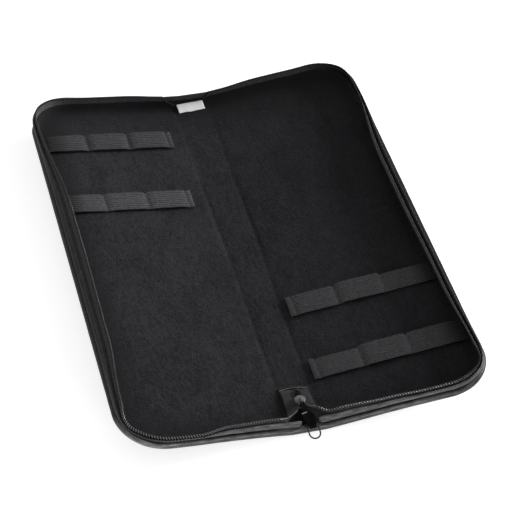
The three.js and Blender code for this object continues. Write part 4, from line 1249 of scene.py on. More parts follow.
@dataclass
class Floor:
    """The lining and the outer cover, each one sheet a side from the spine's middle out.

    A lining's crease is given by its places across at the near and far ends of the case.
    """

    shape: CaseShape
    finishes: Finishes
    rows: int = 236
    columns: int = 110
    cover_rows: int = 80
    cover_columns: int = 60
    end_crowding: float = 0.35
    lining_thickness: float = 0.7
    lining_lap: float = 0.4
    cover_thickness: float = 0.8
    cover_set_in: float = 6.0
    left_crease: tuple = (-0.3, 3.0)
    right_crease: tuple = (-3.0, 0.8)
    crease_wander: float = 0.5
    crease_width: float = 1.9
    crease_depth: float = 0.9
    crease_fade: float = 0.35
    fade_start: float = 170.0
    fade_run: float = 90.0
    shoulder_out: float = 5.0
    shoulder_width: float = 4.0
    shoulder_height: float = 0.2
    rumple_height: float = 0.45
    rumple_wave: float = 95.0
    fine_height: float = 0.07
    fine_wave: float = 24.0
    puff_height: float = 0.12
    puff_wave: float = 60.0

    def layout(self, set_in: float, rows: int, columns: int) -> tuple[Array, Array]:
        """Covers the flat outline of a side with a grid.

        A row's reach is the outline's there: the straight side, or the corner arc's reach, which
        is its centre's plus the root of the radius squared less the distance along squared.

        Args:
            set_in: How far the sheet stays inside the outline.
            rows: Rows along the case.
            columns: Columns across it.

        Returns:
            Distances across and along.
        """
        shape = self.shape
        radius, end = shape.corner_radius - set_in, shape.length / 2 - set_in
        share = np.linspace(-1.0, 1.0, rows)
        crowd = self.end_crowding
        along = end * np.sin(share * np.pi / 2) * crowd + end * share * (1.0 - crowd)
        into = np.maximum(0.0, np.abs(along) - (end - radius))
        reach = shape.edge_run + np.sqrt(np.maximum(0.0, radius**2 - into**2))
        start = -shape.half_spine
        across = start + (reach[:, None] - start) * np.linspace(0.0, 1.0, columns)[None, :]
        return across, np.broadcast_to(along[:, None], across.shape)

    def sheet(self, piece: Piece, side: Side) -> None:
        """Hands a sheet of the floor to fold, with the floor's ease about the crease.

        Args:
            piece: The sheet.
            side: Which side.
        """
        shape = self.shape
        shape.fold_about(piece, side, shape.floor_ease)

    def nodes(self, side: Side, layer: str) -> list[str]:
        """Names the CAD nodes of a layer. The left side's sheet stands for the spine's too."""
        return [f"{side.word}_{layer}"] + ([f"spine_{layer}"] if side is Side.LEFT else [])

    def lining(self, side: Side) -> None:
        """Makes a side's lining, a gently rumpled sheet with a soft crease beside the spine.

        Its height is the hinge's, plus low waves, less a groove: a bell curve about a line that
        runs aslant from the crease's near place to its far one.

        Args:
            side: Which side.
        """
        shape = self.shape
        across, along = self.layout(shape.floor_set_in - self.lining_lap, self.rows, self.columns)
        near, far = self.left_crease if side is Side.LEFT else self.right_crease
        line = near + (far - near) * (along / shape.length + 0.5)
        line = line + self.crease_wander * np.sin(along / 37.0 + side.value)
        groove = np.exp(-(((across - line) / self.crease_width) ** 2))
        shoulder = np.exp(-(((across - line - self.shoulder_out) / self.shoulder_width) ** 2))
        from_middle = smoothstep((across + shape.half_spine) / 6.0)
        waves = rumple(across, along * 0.6, 11 + side.value, self.rumple_wave) * self.rumple_height
        fine = rumple(across, along * 0.5, 21 + side.value, self.fine_wave) * self.fine_height
        fade = smoothstep((self.fade_start - along) / self.fade_run)
        fade = self.crease_fade + (1.0 - self.crease_fade) * fade
        uneven = 0.8 + 0.2 * np.sin(along / 23.0)
        height = shape.hinge_height + (waves + fine) * from_middle * 0.8
        height = height - self.crease_depth * fade * groove * uneven
        height = height + self.shoulder_height * shoulder * fade
        face = shape.unfold(side, across, along, height)
        right = side is Side.RIGHT
        piece = slab(f"{side.word}_lining_felt", face, self.lining_thickness, flip=right)
        dress(piece, self.finishes.felt, Slot.FELT, *self.nodes(side, "lining"))
        self.sheet(piece, side)

    def cover(self, side: Side) -> None:
        """Makes a side's outer cover, from the spine's middle to under the rolled edge.

        Args:
            side: Which side.
        """
        across, along = self.layout(self.cover_set_in, self.cover_rows, self.cover_columns)
        puff = self.puff_height * rumple(across, along, 31 + side.value, self.puff_wave)
        height = np.maximum(puff * smoothstep((across - 4.0) / 12.0), 0.0)
        face = self.shape.unfold(side, across, along, height)
        left = side is Side.LEFT
        piece = slab(f"{side.word}_cover_leatherette", face, self.cover_thickness, flip=left)
        dress(piece, self.finishes.cover, Slot.LEATHERETTE, *self.nodes(side, "cover"))
        self.sheet(piece, side)

    def build(self) -> None:
        """Makes both sides' sheets and dresses the stiffeners between them."""
        for side in Side:
            self.lining(side)
            self.cover(side)
            dress(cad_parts[f"{side.word}_board"], self.finishes.board, Slot.BOARD)
        dress(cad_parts["spine_board"], self.finishes.board, Slot.BOARD)


# The wall


@dataclass(frozen=True)
class Crossing:
    """A stretch of zip that leaves the wall and runs over the crease.

    It leaves the wall at a distance from the crease and passes through the points in order.
    """

    reach: float
    guides: tuple


@dataclass
class Wall:
    """The wall of one half: rolled edge, band, tape, coil, the lining's turn-up and the sewing."""

    side: Side
    shape: CaseShape
    finishes: Finishes
    rim_near: Crossing
    foot_near: Crossing
    rim_far: Crossing
    band_stop: float
    roll_corners: int = 20
    roll_waver: float = 0.022
    band_inset: float = 1.7
    band_thickness: float = 2.4
    band_foot: float = 9.8
    band_height: float = 5.5
    band_waver: float = 0.05
    band_taper: float = 3.4
    tape_inset: float = 3.75
    tape_foot: float = 7.3
    tape_thickness: float = 0.7
    tape_rows: int = 13
    coil_height: float = 17.8
    coil_width: float = 2.5
    coil_depth: float = 2.0
    core_width: float = 2.0
    core_depth: float = 1.0
    tooth_pitch: float = 2.35
    turn_steps: int = 12
    thread_width: float = 0.9
    stitch_width: float = 0.55
    near_narrowing: float = 0.2
    far_rise: float = 0.7
    turn_up_thickness: float = 0.6
    line_count: int = 41
    station: float = 3.0

    def name(self, piece: str) -> str:
        """Puts the side's word before a piece's name."""
        return f"{self.side.word}_{piece}"

    def names(self, *pieces: str) -> list[str]:
        """Puts the side's word before several names."""
        return [self.name(piece) for piece in pieces]

    def rolled_edge(self) -> None:
        """Makes the rolled edge, a tube whose radius wavers along the wall."""
        shape = self.shape
        run = shape.runs(-shape.half_spine, shape.full_run + shape.half_spine, 2.4)
        turn = np.arange(self.roll_corners) / self.roll_corners * TURN
        radius = shape.roll_diameter / 2
        waver = rumple(run[:, None], 3.0 * turn[None, :], 41 + self.side.value, 30.0)
        on_spine = np.abs(run[:, None] - shape.full_run / 2) > shape.full_run / 2 + 8.0
        waver = np.where(on_spine, 1.0, 1.0 + self.roll_waver * waver)
        inset = radius - radius * waver * np.cos(turn)
        height = radius + radius * waver * np.sin(turn)
        points = shape.wall(self.side, run[:, None], inset, height)
        piece = grid(self.name("rolled_edge"), points, ring=True)
        spine_roll = "near_spine_roll" if self.side is Side.LEFT else "far_spine_roll"
        dress(piece, self.finishes.roll, Slot.LEATHERETTE, self.name("base_roll"), spine_roll)
        shape.fold_about(piece, self.side, shape.roll_ease)

    def band(self) -> None:
        """Makes the stitched band, a flat rounded section that thins to nothing at its near end."""
        shape = self.shape
        start = self.band_stop - shape.half_spine
        tip = start + np.array([0.0, 0.35, 0.9, 1.8, 3.0])
        run = np.concatenate([tip, shape.runs(start + 5.0, shape.full_run + shape.half_spine, 2.2)])
        section = rounded_section(self.band_thickness, self.band_height, 16, 1.5)
        taper = smoothstep((run - start) / self.band_taper) ** 0.5 * 0.85 + 0.15
        waver = 1.0 + self.band_waver * rumple(run, 0.0 * run, 51 + self.side.value, 19.0)
        wide, tall = (taper * waver)[:, None], (0.55 + 0.45 * taper)[:, None]
        inset = self.band_inset + section[None, :, 0] * wide + (0.6 * (1.0 - taper))[:, None]
        height = self.band_foot + self.band_height / 2 + section[None, :, 1] * tall
        points = shape.wall(self.side, run[:, None], inset, height)
        piece = grid(self.name("stitched_band"), points, ring=True)
        nodes = self.names("edge_band", "near_band_end", "far_band_end")
        dress(piece, self.finishes.binding, Slot.LEATHERETTE, *nodes)
        self.shape.fold_wall(piece, self.side)

    def approach(self, crossing: Crossing, wall: Array) -> Array:
        """Runs a line from the last of a near crossing's points to the wall's first one."""
        return through(np.vstack([np.array(crossing.guides)[::-1], wall]), self.line_count)

    def rim_line(self) -> Array:
        """Follows the coil's middle along the wall and off it at both ends.

        Returns:
            The points of the line.
        """
        near, far, shape = self.rim_near, self.rim_far, self.shape
        run = shape.runs(near.reach, shape.full_run - far.reach, self.station)
        wall = shape.wall(self.side, run, self.tape_inset, self.coil_height)
        far_line = through(np.vstack([wall[-1:], np.array(far.guides)]), self.line_count)
        return np.vstack([self.approach(near, wall[:1])[:-1], wall, far_line[1:]])

    def tape(self) -> None:
        """Makes the woven tape between the coil and the roll, one strip from end to end.

        On the wall, and on to the spine's middle at the far end, a row lies at its height. Off
        the wall at the near end it lies between the coil's line and the foot's by the same share.
        """
        shape = self.shape
        rows = np.linspace(0.0, 1.0, self.tape_rows)
        level = self.tape_foot + (self.coil_height - self.tape_foot) * rows
        run = shape.runs(self.rim_near.reach, shape.full_run + shape.half_spine, self.station)
        rise = self.far_rise * smoothstep((run - shape.full_run + 18.0) / 14.0)
        height = level[None, :] + rise[:, None] * rows[None, :] ** 3
        wall = shape.wall(self.side, run[:, None], self.tape_inset, height)
        rim = self.approach(self.rim_near, wall[:1, -1])
        foot = self.approach(self.foot_near, wall[:1, 0])
        between = foot[:, None] + (rim - foot)[:, None] * rows[None, :, None]
        straight = wall[:1, :1] + (wall[:1, -1:] - wall[:1, :1]) * rows[None, :, None]
        on_wall = smoothstep((np.linspace(0.0, 1.0, self.line_count) - 0.4) / 0.6)[:, None, None]
        near = between + (wall[:1] - straight) * on_wall
        points = np.vstack([near[:-1], wall])
        piece = slab(self.name("zip_tape_woven"), points, self.tape_thickness, centred=True)
        nodes = self.names("zip_tape", "near_tape_end", "far_tape_end")
        nodes += ["far_spine_tape"] if self.side is Side.LEFT else []
        dress(piece, self.finishes.tape, Slot.TAPE, *nodes)
        self.shape.fold_wall(piece, self.side)

    def coil(self) -> None:
        """Makes the coil: one nylon thread wound round the rim line.

        A point of the thread is the rim line's, plus the cosine of its turn across and the sine
        of it up, each by half the coil's size that way. One turn is one tooth.
        """
        rim = self.rim_line()
        teeth = int(lengths_along(rim)[-1] / self.tooth_pitch)
        centre = evenly(rim, teeth * self.turn_steps + 1)
        ahead = tangents(centre)
        side = unit(np.cross(UP, ahead))
        up = np.cross(ahead, side)
        turn = np.arange(len(centre)) / self.turn_steps * TURN
        narrow = 1.0 - self.near_narrowing * smoothstep((30.0 - lengths_along(centre)) / 15.0)
        across = np.cos(turn) * narrow * (self.coil_width - self.thread_width) / 2
        rise = np.sin(turn) * (self.coil_depth - self.thread_width) / 2
        out = side * across[:, None] + up * rise[:, None]
        section = rounded_section(self.thread_width, self.thread_width, 5)
        piece = tube(self.name("zip_coil_wound"), centre + out, unit(out), section)
        nodes = self.names("zip_coil", "near_coil_end", "far_coil_end")
        dress(piece, self.finishes.coil, Slot.COIL, *nodes)
        self.shape.fold_wall(piece, self.side)

    def core(self) -> None:
        """Makes the cord inside the coil."""
        section = rounded_section(self.core_width, self.core_depth, 10)
        piece = tube(self.name("coil_core_cord"), evenly(self.rim_line(), 520), UP, section)
        dress(piece, self.finishes.core, Slot.COIL)
        self.shape.fold_wall(piece, self.side)

    def sewing(self, row: str, inset: float, height: float, pitch: float, outward: float) -> None:
        """Sews a row of stitches along the wall.

        Args:
            row: What the row is called.
            inset: Its depth inwards.
            height: Its height.
            pitch: From one stitch to the next.
            outward: 1 on the wall's outer face, -1 on its inner one.
        """
        shape, side, margin, step = self.shape, self.side, 6.0, 0.5
        run = np.arange(margin, shape.full_run - margin, pitch)
        here = shape.wall(side, run, inset, height)
        after, before = (shape.wall(side, run + way, inset, height) for way in (step, -step))
        out = shape.wall(side, run, inset - outward, height) - here
        piece = stitches(self.name(row), here, after - before, out, pitch * 0.8, self.stitch_width)
        dress(piece, self.finishes.thread, Slot.TAPE)
        shape.fold_wall(piece, side)

    def turn_up(self) -> None:
        """Makes the lining's turn-up, which curves from under the floor's lining to the tape.

        Its section is a quarter of an ellipse from the floor to the wall, and then straight up.
        It comes down low under the slider.
        """
        shape = self.shape
        run = shape.runs(-shape.half_spine, shape.full_run + shape.half_spine, 3.2)
        turn = np.linspace(0.0, np.pi / 2, 11)
        inset = np.concatenate([[14.0], 12.5 - 7.4 * np.sin(turn), [4.95, 4.8, 4.6]])
        height = np.concatenate([[2.75], 7.3 - 4.2 * np.cos(turn), [9.0, 10.6, 12.0]])
        waver = 0.3 * rumple(run[:, None], height[None, :] * 2.0, 61 + self.side.value, 26.0)
        low = 1.0 - 0.64 * smoothstep((5.0 - run[:, None]) / 6.0)
        rise = height[0] + (height[None, :] - height[0]) * low
        points = shape.wall(self.side, run[:, None], inset[None, :] + waver, rise)
        left = self.side is Side.LEFT
        piece = slab(self.name("lining_turn_up"), points, self.turn_up_thickness, flip=left)
        dress(piece, self.finishes.felt, Slot.FELT)
        self.shape.fold_wall(piece, self.side)

    def build(self) -> None:
        """Makes the whole wall."""
        for make in (self.rolled_edge, self.band, self.tape, self.coil, self.core, self.turn_up):
            make()
        self.sewing("coil_outer_stitches", self.tape_inset - 0.32, 15.9, 2.0, 1.0)
        self.sewing("coil_inner_stitches", self.tape_inset + 0.32, 15.9, 2.0, -1.0)
        self.sewing("band_stitches", self.band_inset - 1.12, self.band_foot + 4.4, 3.0, 1.0)


# The elastic loops


@dataclass
class Webbing:
    """One length of elastic, sewn down into three loops across a half."""

    name: str
    node: str
    side: Side
    along: float
    inner: float
    seams: tuple
    shape: CaseShape
    finishes: Finishes
    rises: tuple
    steps: tuple = (0.0, 0.0, 0.0)
    outer: float = 141.9
    width: float = 25.0
    thickness: float = 0.9
    lining_gap: float = 0.35
    pinch: float = 1.4
    tack: float = 5.0
    seam_width: float = 2.0
    rib_height: float = 0.035
    rib_count: float = 9.0
    hem_width: float = 4.2
    hem_height: float = 0.45
    hem_rounding: float = 0.3
    stitch_pitch: float = 2.1
    tuft_threads: int = 5

    def loops(self) -> list[tuple[float, float]]:
        """Gives where the loops lie.

        Returns:
            Each loop's start and end as distances out from the crease.
        """
        half = self.seam_width / 2
        starts = [self.inner + self.tack, *(seam + half for seam in self.seams)]
        ends = [*(seam - half for seam in self.seams), self.outer - self.seam_width]
        return list(zip(starts, ends))

    def height_at(self, reach: Array) -> Array:
        """Gives the underside's height over the lining along the webbing.

        It is flat at the tack and the seams. In a loop it is the loop's rise times 1 less the
        sixth power of the way from the loop's middle.

        Args:
            reach: Distances out from the crease.

        Returns:
            The heights.
        """
        height = np.zeros_like(reach)
        for rise, (start, end) in zip(self.rises, self.loops()):
            way = np.clip((2 * reach - start - end) / (end - start), -1.0, 1.0)
            height = height + rise * (1.0 - way**6)
        return height

    def drawn(self, reach: Array, across: Array) -> Array:
        """Moves places across the webbing to where its loops and seams draw them.

        A loop's far half is wider or narrower by its step. A seam draws both edges in by bell
        curves, the far edge more.

        Args:
            reach: Distances out from the crease.
            across: Distances from the webbing's middle line.

        Returns:
            The new distances from the middle line.
        """
        share = 2.0 * across / self.width
        step, ease, bell = np.zeros(np.broadcast(reach, across).shape), 1.5, 1.2
        for size, (start, end) in zip(self.steps, self.loops()):
            inside = smoothstep((end - reach) / ease + 0.5)
            step = step + size * smoothstep((reach - start) / ease + 0.5) * inside
        draw = sum(np.exp(-(((reach - seam) / bell) ** 2)) for seam in self.seams) * self.pinch
        far, near = np.maximum(share, 0.0), np.maximum(-share, 0.0)
        return across + step * far - draw * far**3 + 0.35 * draw * near**3

    def surface(self, reach: Array, across: Array, over: float = 0.0) -> Array:
        """Puts places on the webbing's top face.

        Args:
            reach: Distances out from the crease.
            across: Distances from the webbing's middle line.
            over: How far over the face.

        Returns:
            Points in space.
        """
        lift, share, seed = self.height_at(reach), 2.0 * across / self.width, len(self.name)
        sag = lift * (0.14 * rumple(reach, across * 2.0, 71 + seed, 40.0) - 0.12 * share**2)
        wander = 0.35 * rumple(reach, 0.0 * across, 81 + seed, 50.0)
        foot = self.shape.hinge_height + self.lining_gap
        along = self.along + wander + self.drawn(reach, across)
        return self.shape.unfold(self.side, reach, along, foot + lift + self.thickness + sag + over)

    def fabric(self) -> None:
        """Makes the elastic, its ribs standing up as a sine across it."""
        seams = np.concatenate([seam + np.linspace(-2.4, 2.4, 17) for seam in self.seams])
        reach = np.unique(np.concatenate([np.linspace(self.inner, self.outer, 120), seams]))
        across = np.linspace(-self.width / 2, self.width / 2, 67)
        ribs = -self.rib_height * np.cos(TURN * self.rib_count * across / self.width)
        hem = self.hem_height * smoothstep((self.inner + self.hem_width - reach) / 0.6)
        hem = hem - self.hem_rounding * smoothstep((self.inner + 0.5 - reach) / 0.5)
        points = self.surface(reach[:, None], across[None, :], ribs[None, :] + hem[:, None])
        piece = slab(self.name, points, self.thickness, flip=self.side is Side.RIGHT)
        dress(piece, self.finishes.elastic, Slot.WEBBING, self.node, body=self.side.body)
        length = float(lengths_along(self.surface(reach, 0.0 * reach))[-1])

    def row(self, start: tuple, end: tuple) -> tuple[Array, Array, Array]:
        """Places a straight row of stitches on the webbing.

        Args:
            start: Its first place, as reach and distance from the middle line.
            end: Its last place.

        Returns:
            The stitches' places, their directions and the ways out.
        """
        way, lift = np.array([end[0] - start[0], end[1] - start[1]]), 0.05
        count = max(2, int(np.hypot(*way) / self.stitch_pitch))
        share = (np.arange(count) + 0.5) / count
        reach, across = start[0] + way[0] * share, start[1] + way[1] * share
        step = way / np.linalg.norm(way) * 0.4
        here = self.surface(reach, across, lift)
        after = self.surface(reach + step[0], across + step[1], lift)
        before = self.surface(reach - step[0], across - step[1], lift)
        return here, after - before, self.surface(reach, across, 1.0) - here

    def sewing(self) -> None:
        """Sews the inner end down with a box and each seam with two rows."""
        edge = self.width / 2 - 1.0
        left, right = self.inner + 0.9, self.inner + self.tack - 0.5
        rows = [
            self.row((left, -edge), (left, edge)),
            self.row((right, -edge), (right, edge)),
            self.row((left, edge), (right, edge)),
            self.row((left, -edge), (right, -edge)),
            self.row((left, -edge), (right, edge)),
        ]
        reaches = [seam + half for seam in self.seams for half in (-0.5, 0.5)]
        rows += [self.row((reach, -edge), (reach, edge)) for reach in (*reaches, self.outer - 1.0)]
        places, ahead, out = (np.vstack(parts) for parts in zip(*rows))
        piece = stitches(f"{self.name}_sewing", places, ahead, out, 1.9, 0.6)
        dress(piece, self.finishes.thread, Slot.WEBBING, body=self.side.body)

    def tufts(self) -> None:
        """Leaves the ends of thread that stick out at the seams' far edges and the inner corner."""
        rng = np.random.default_rng(17 + len(self.name))
        spots = [(seam, self.width / 2 - self.pinch) for seam in self.seams]
        spots += [(self.inner + 0.5, -self.width / 2 + 0.6)]
        reach, across = np.repeat(spots, self.tuft_threads, axis=0).T
        reach = reach + rng.normal(0.0, 0.5, len(reach))
        across = across + rng.uniform(-0.6, 0.9, len(across))
        turn = rng.uniform(0.2 * np.pi, 0.8 * np.pi, len(reach))
        lift, step = 0.15, 0.3
        here = self.surface(reach, across, lift)
        ahead = self.surface(reach + step * np.cos(turn), across + step * np.sin(turn), lift) - here
        ahead = unit(ahead) + UP * rng.uniform(-0.1, 0.45, len(reach))[:, None]
        out = self.surface(reach, across, 1.0) - here
        piece = stitches(f"{self.name}_tufts", here, ahead, out, 2.6, 0.42)
        dress(piece, self.finishes.tuft, Slot.WEBBING, body=self.side.body)

    def build(self) -> None:
        """Makes the elastic, its sewing and the loose ends of thread."""
        self.fabric()
        self.sewing()
        self.tufts()


# The zip's tail and the label on the spine


@dataclass
class SpineTrim:
    """What is sewn to the spine: the zip's tail with its joined coil and tab, and the label."""

    shape: CaseShape
    finishes: Finishes
    middle: float = -1.0
    left: float = -14.8
    right: float = 11.1
    slit: float = 1.1
    outer_start: float = 21.2
    inner_start: float = 29.4
    level_end: float = 45.0
    drop_lead: float = 3.0
    end: float = 49.2
    level: float = 7.2
    floor: float = 5.0
    tail_thickness: float = 0.7
    coil_start: float = 35.0
    coil_pitch: float = 1.5
    coil_height: float = 8.45
    clip_height: float = 7.7
    tab_edge: tuple = (
        (-14.9, -185.2, 5.1), (-5.3, -185.0, 6.2), (1.7, -186.9, 7.2), (9.1, -188.9, 7.2),
    )
    tab_lap: float = 2.3
    tab_radius: float = 0.7
    tab_fall: float = 0.16
    label_top: tuple = ((-16.3, 228.1, 8.6), (10.5, 228.7, 9.4))
    label_foot: tuple = ((-15.0, 218.7, 4.55), (12.0, 220.5, 4.55))
    label_flat: tuple = (0.027, 0.0105)

    def tail_height(self, from_end: Array) -> Array:
        """Gives the tail's top face: level under the slider, then down to the floor."""
        start = self.level_end - self.drop_lead
        drop = smoothstep((from_end - start) / (self.end - start))
        return self.level - (self.level - self.floor - self.tail_thickness) * drop

    def tail(self, side: Side) -> None:
        """Makes one tape of the tail, from the slanted line where the coil leaves it.

        Args:
            side: Which tape.
        """
        inner = self.middle + side.value * self.slit
        outer = self.left if side is Side.LEFT else self.right
        share, way = np.linspace(0.0, 1.0, 14), np.linspace(0.0, 1.0, 26)
        start = self.inner_start + (self.outer_start - self.inner_start) * share
        from_end = start[None, :] + (self.end - start)[None, :] * way[:, None]
        taper = 2.0 * np.clip((from_end - 21.5) / 25.0, 0.0, 1.0) * (side is Side.RIGHT)
        x = inner + (outer - taper - inner) * share[None, :]
        bow = 0.5 * np.sin(np.pi * share)[None, :] * np.sin(np.pi * way)[:, None]
        height = self.tail_height(from_end) + bow + 0.12 * rumple(x, from_end, 91 + side.value, 14.0)
        points = np.stack([x, self.shape.near_end + from_end, height], axis=-1)
        piece = grid(f"{side.word}_tail_woven", points, flip=side is Side.RIGHT)
        thicken(piece, self.tail_thickness)
        dress(piece, self.finishes.tail, Slot.TAPE, f"{side.word}_tail_tape", body="spine")

    def joined_coil(self) -> None:
        """Makes the two coils behind the slider, wound so that their loops lie in turn."""
        turns = int((self.level_end - 2.0 - self.coil_start) / self.coil_pitch)
        count = turns * 12 + 1
        along = np.linspace(self.coil_start, self.coil_start + turns * self.coil_pitch, count)
        for side in Side:
            turn = np.arange(count) / 12.0 * TURN + (np.pi if side is Side.RIGHT else 0.0)
            x = self.middle + side.value * 1.05 + np.cos(turn) * 1.25
            height = self.coil_height + np.sin(turn) * 0.62
            line = np.stack([x, self.shape.near_end + along, height], axis=1)
            out = np.stack([np.cos(turn), 0.0 * turn, np.sin(turn)], axis=1)
            piece = tube(f"{side.word}_joined_coil_wound", line, out, rounded_section(0.6, 0.6, 5))
            nodes = ["joined_coil"] if side is Side.LEFT else []
            dress(piece, self.finishes.core, Slot.COIL, *nodes, body="spine")

    def stop_clip(self) -> None:
        """Makes the metal clip at the end of the coils, bent over them from side to side."""
        turn = np.linspace(-0.15 * np.pi, 1.15 * np.pi, 15)
        reach = (np.abs(np.cos(turn)) ** 3 + np.abs(np.sin(turn)) ** 3) ** (-1 / 3)
        x = self.middle + np.cos(turn) * reach * 2.9
        height = self.clip_height + np.sin(turn) * reach * 1.75
        y = np.full_like(x, self.shape.near_end + self.level_end - 0.8)
        line, ahead = np.stack([x, y, height], axis=1), np.array([0.0, 1.0, 0.0])
        piece = tube("coil_stop_clip", line, ahead, rounded_section(0.7, 1.5, 10, 1.8))
        dress(piece, self.finishes.wire, Slot.SLIDER, "bottom_stop", body="spine")

    def tab(self) -> None:
        """Makes the tab round the tail's end, a sheet folded over it, and a painted highlight along its
        near edge.

        From the near edge the sheet runs on over the tail's end, round a half turn and back
        under it.
        """
        edge, radius = through(np.array(self.tab_edge), 30), self.tab_radius
        turn = np.linspace(np.pi / 2, -np.pi / 2, 9)
        lap = np.linspace(0.0, self.tab_lap, 6)[:-1]
        deep = np.concatenate([lap, self.tab_lap + radius * np.cos(turn), lap[::-1]])
        rise = np.concatenate([radius + 0.0 * lap, radius * np.sin(turn), 0.0 * lap - radius])
        fold = np.stack([0.0 * deep, deep, rise - radius - self.tab_fall * deep], axis=1)
        piece = grid("tail_end_tab", edge[:, None] + fold[None], flip=True)
        thicken(piece, 0.35)
        dress(piece, self.finishes.binding, Slot.LEATHERETTE, "end_tab", body="spine")
        # A light rod along the near edge paints its highlight.
        line = edge + np.array([0.0, -0.1, -0.1])
        rim = tube("tail_tab_highlight", line, UP, rounded_section(0.5, 0.5, 8))
        dress(rim, self.finishes.worn, Slot.LEATHERETTE, body="spine")

    def label(self) -> None:
        """Makes the bare label, a satin sheet that hangs from the far tape and curls a little.

        It runs straight from its top edge to its foot, plus a swell that is a half sine down it
        and low waves along its foot.
        """
        share, way = np.linspace(0.0, 1.0, 34), np.linspace(0.0, 1.0, 20)
        across, down = share[None, :], way[:, None]
        ends = (np.array(edge) for edge in (self.label_top, self.label_foot))
        top, foot = (start + (stop - start) * share[:, None] for start, stop in ends)
        points = top[None] + (foot - top)[None] * down[..., None]
        swell = 0.55 * np.sin(np.pi * down) * (0.7 + 0.3 * np.sin(7.0 * across))
        points[..., 2] += swell + 0.12 * np.sin(17.0 * across + 3.0 * down) * down
        points[..., 1] += 0.25 * np.sin(9.0 * across) * down
        piece = grid("sewn_in_label", points)
        thicken(piece, 0.4)
        dress(piece, self.finishes.label, Slot.LABEL, "sewn_label", body="spine")

    def build(self) -> None:
        """Makes everything on the spine."""
        for side in Side:
            self.tail(side)
        self.joined_coil()
        self.stop_clip()
        self.tab()
        self.label()


# The slider


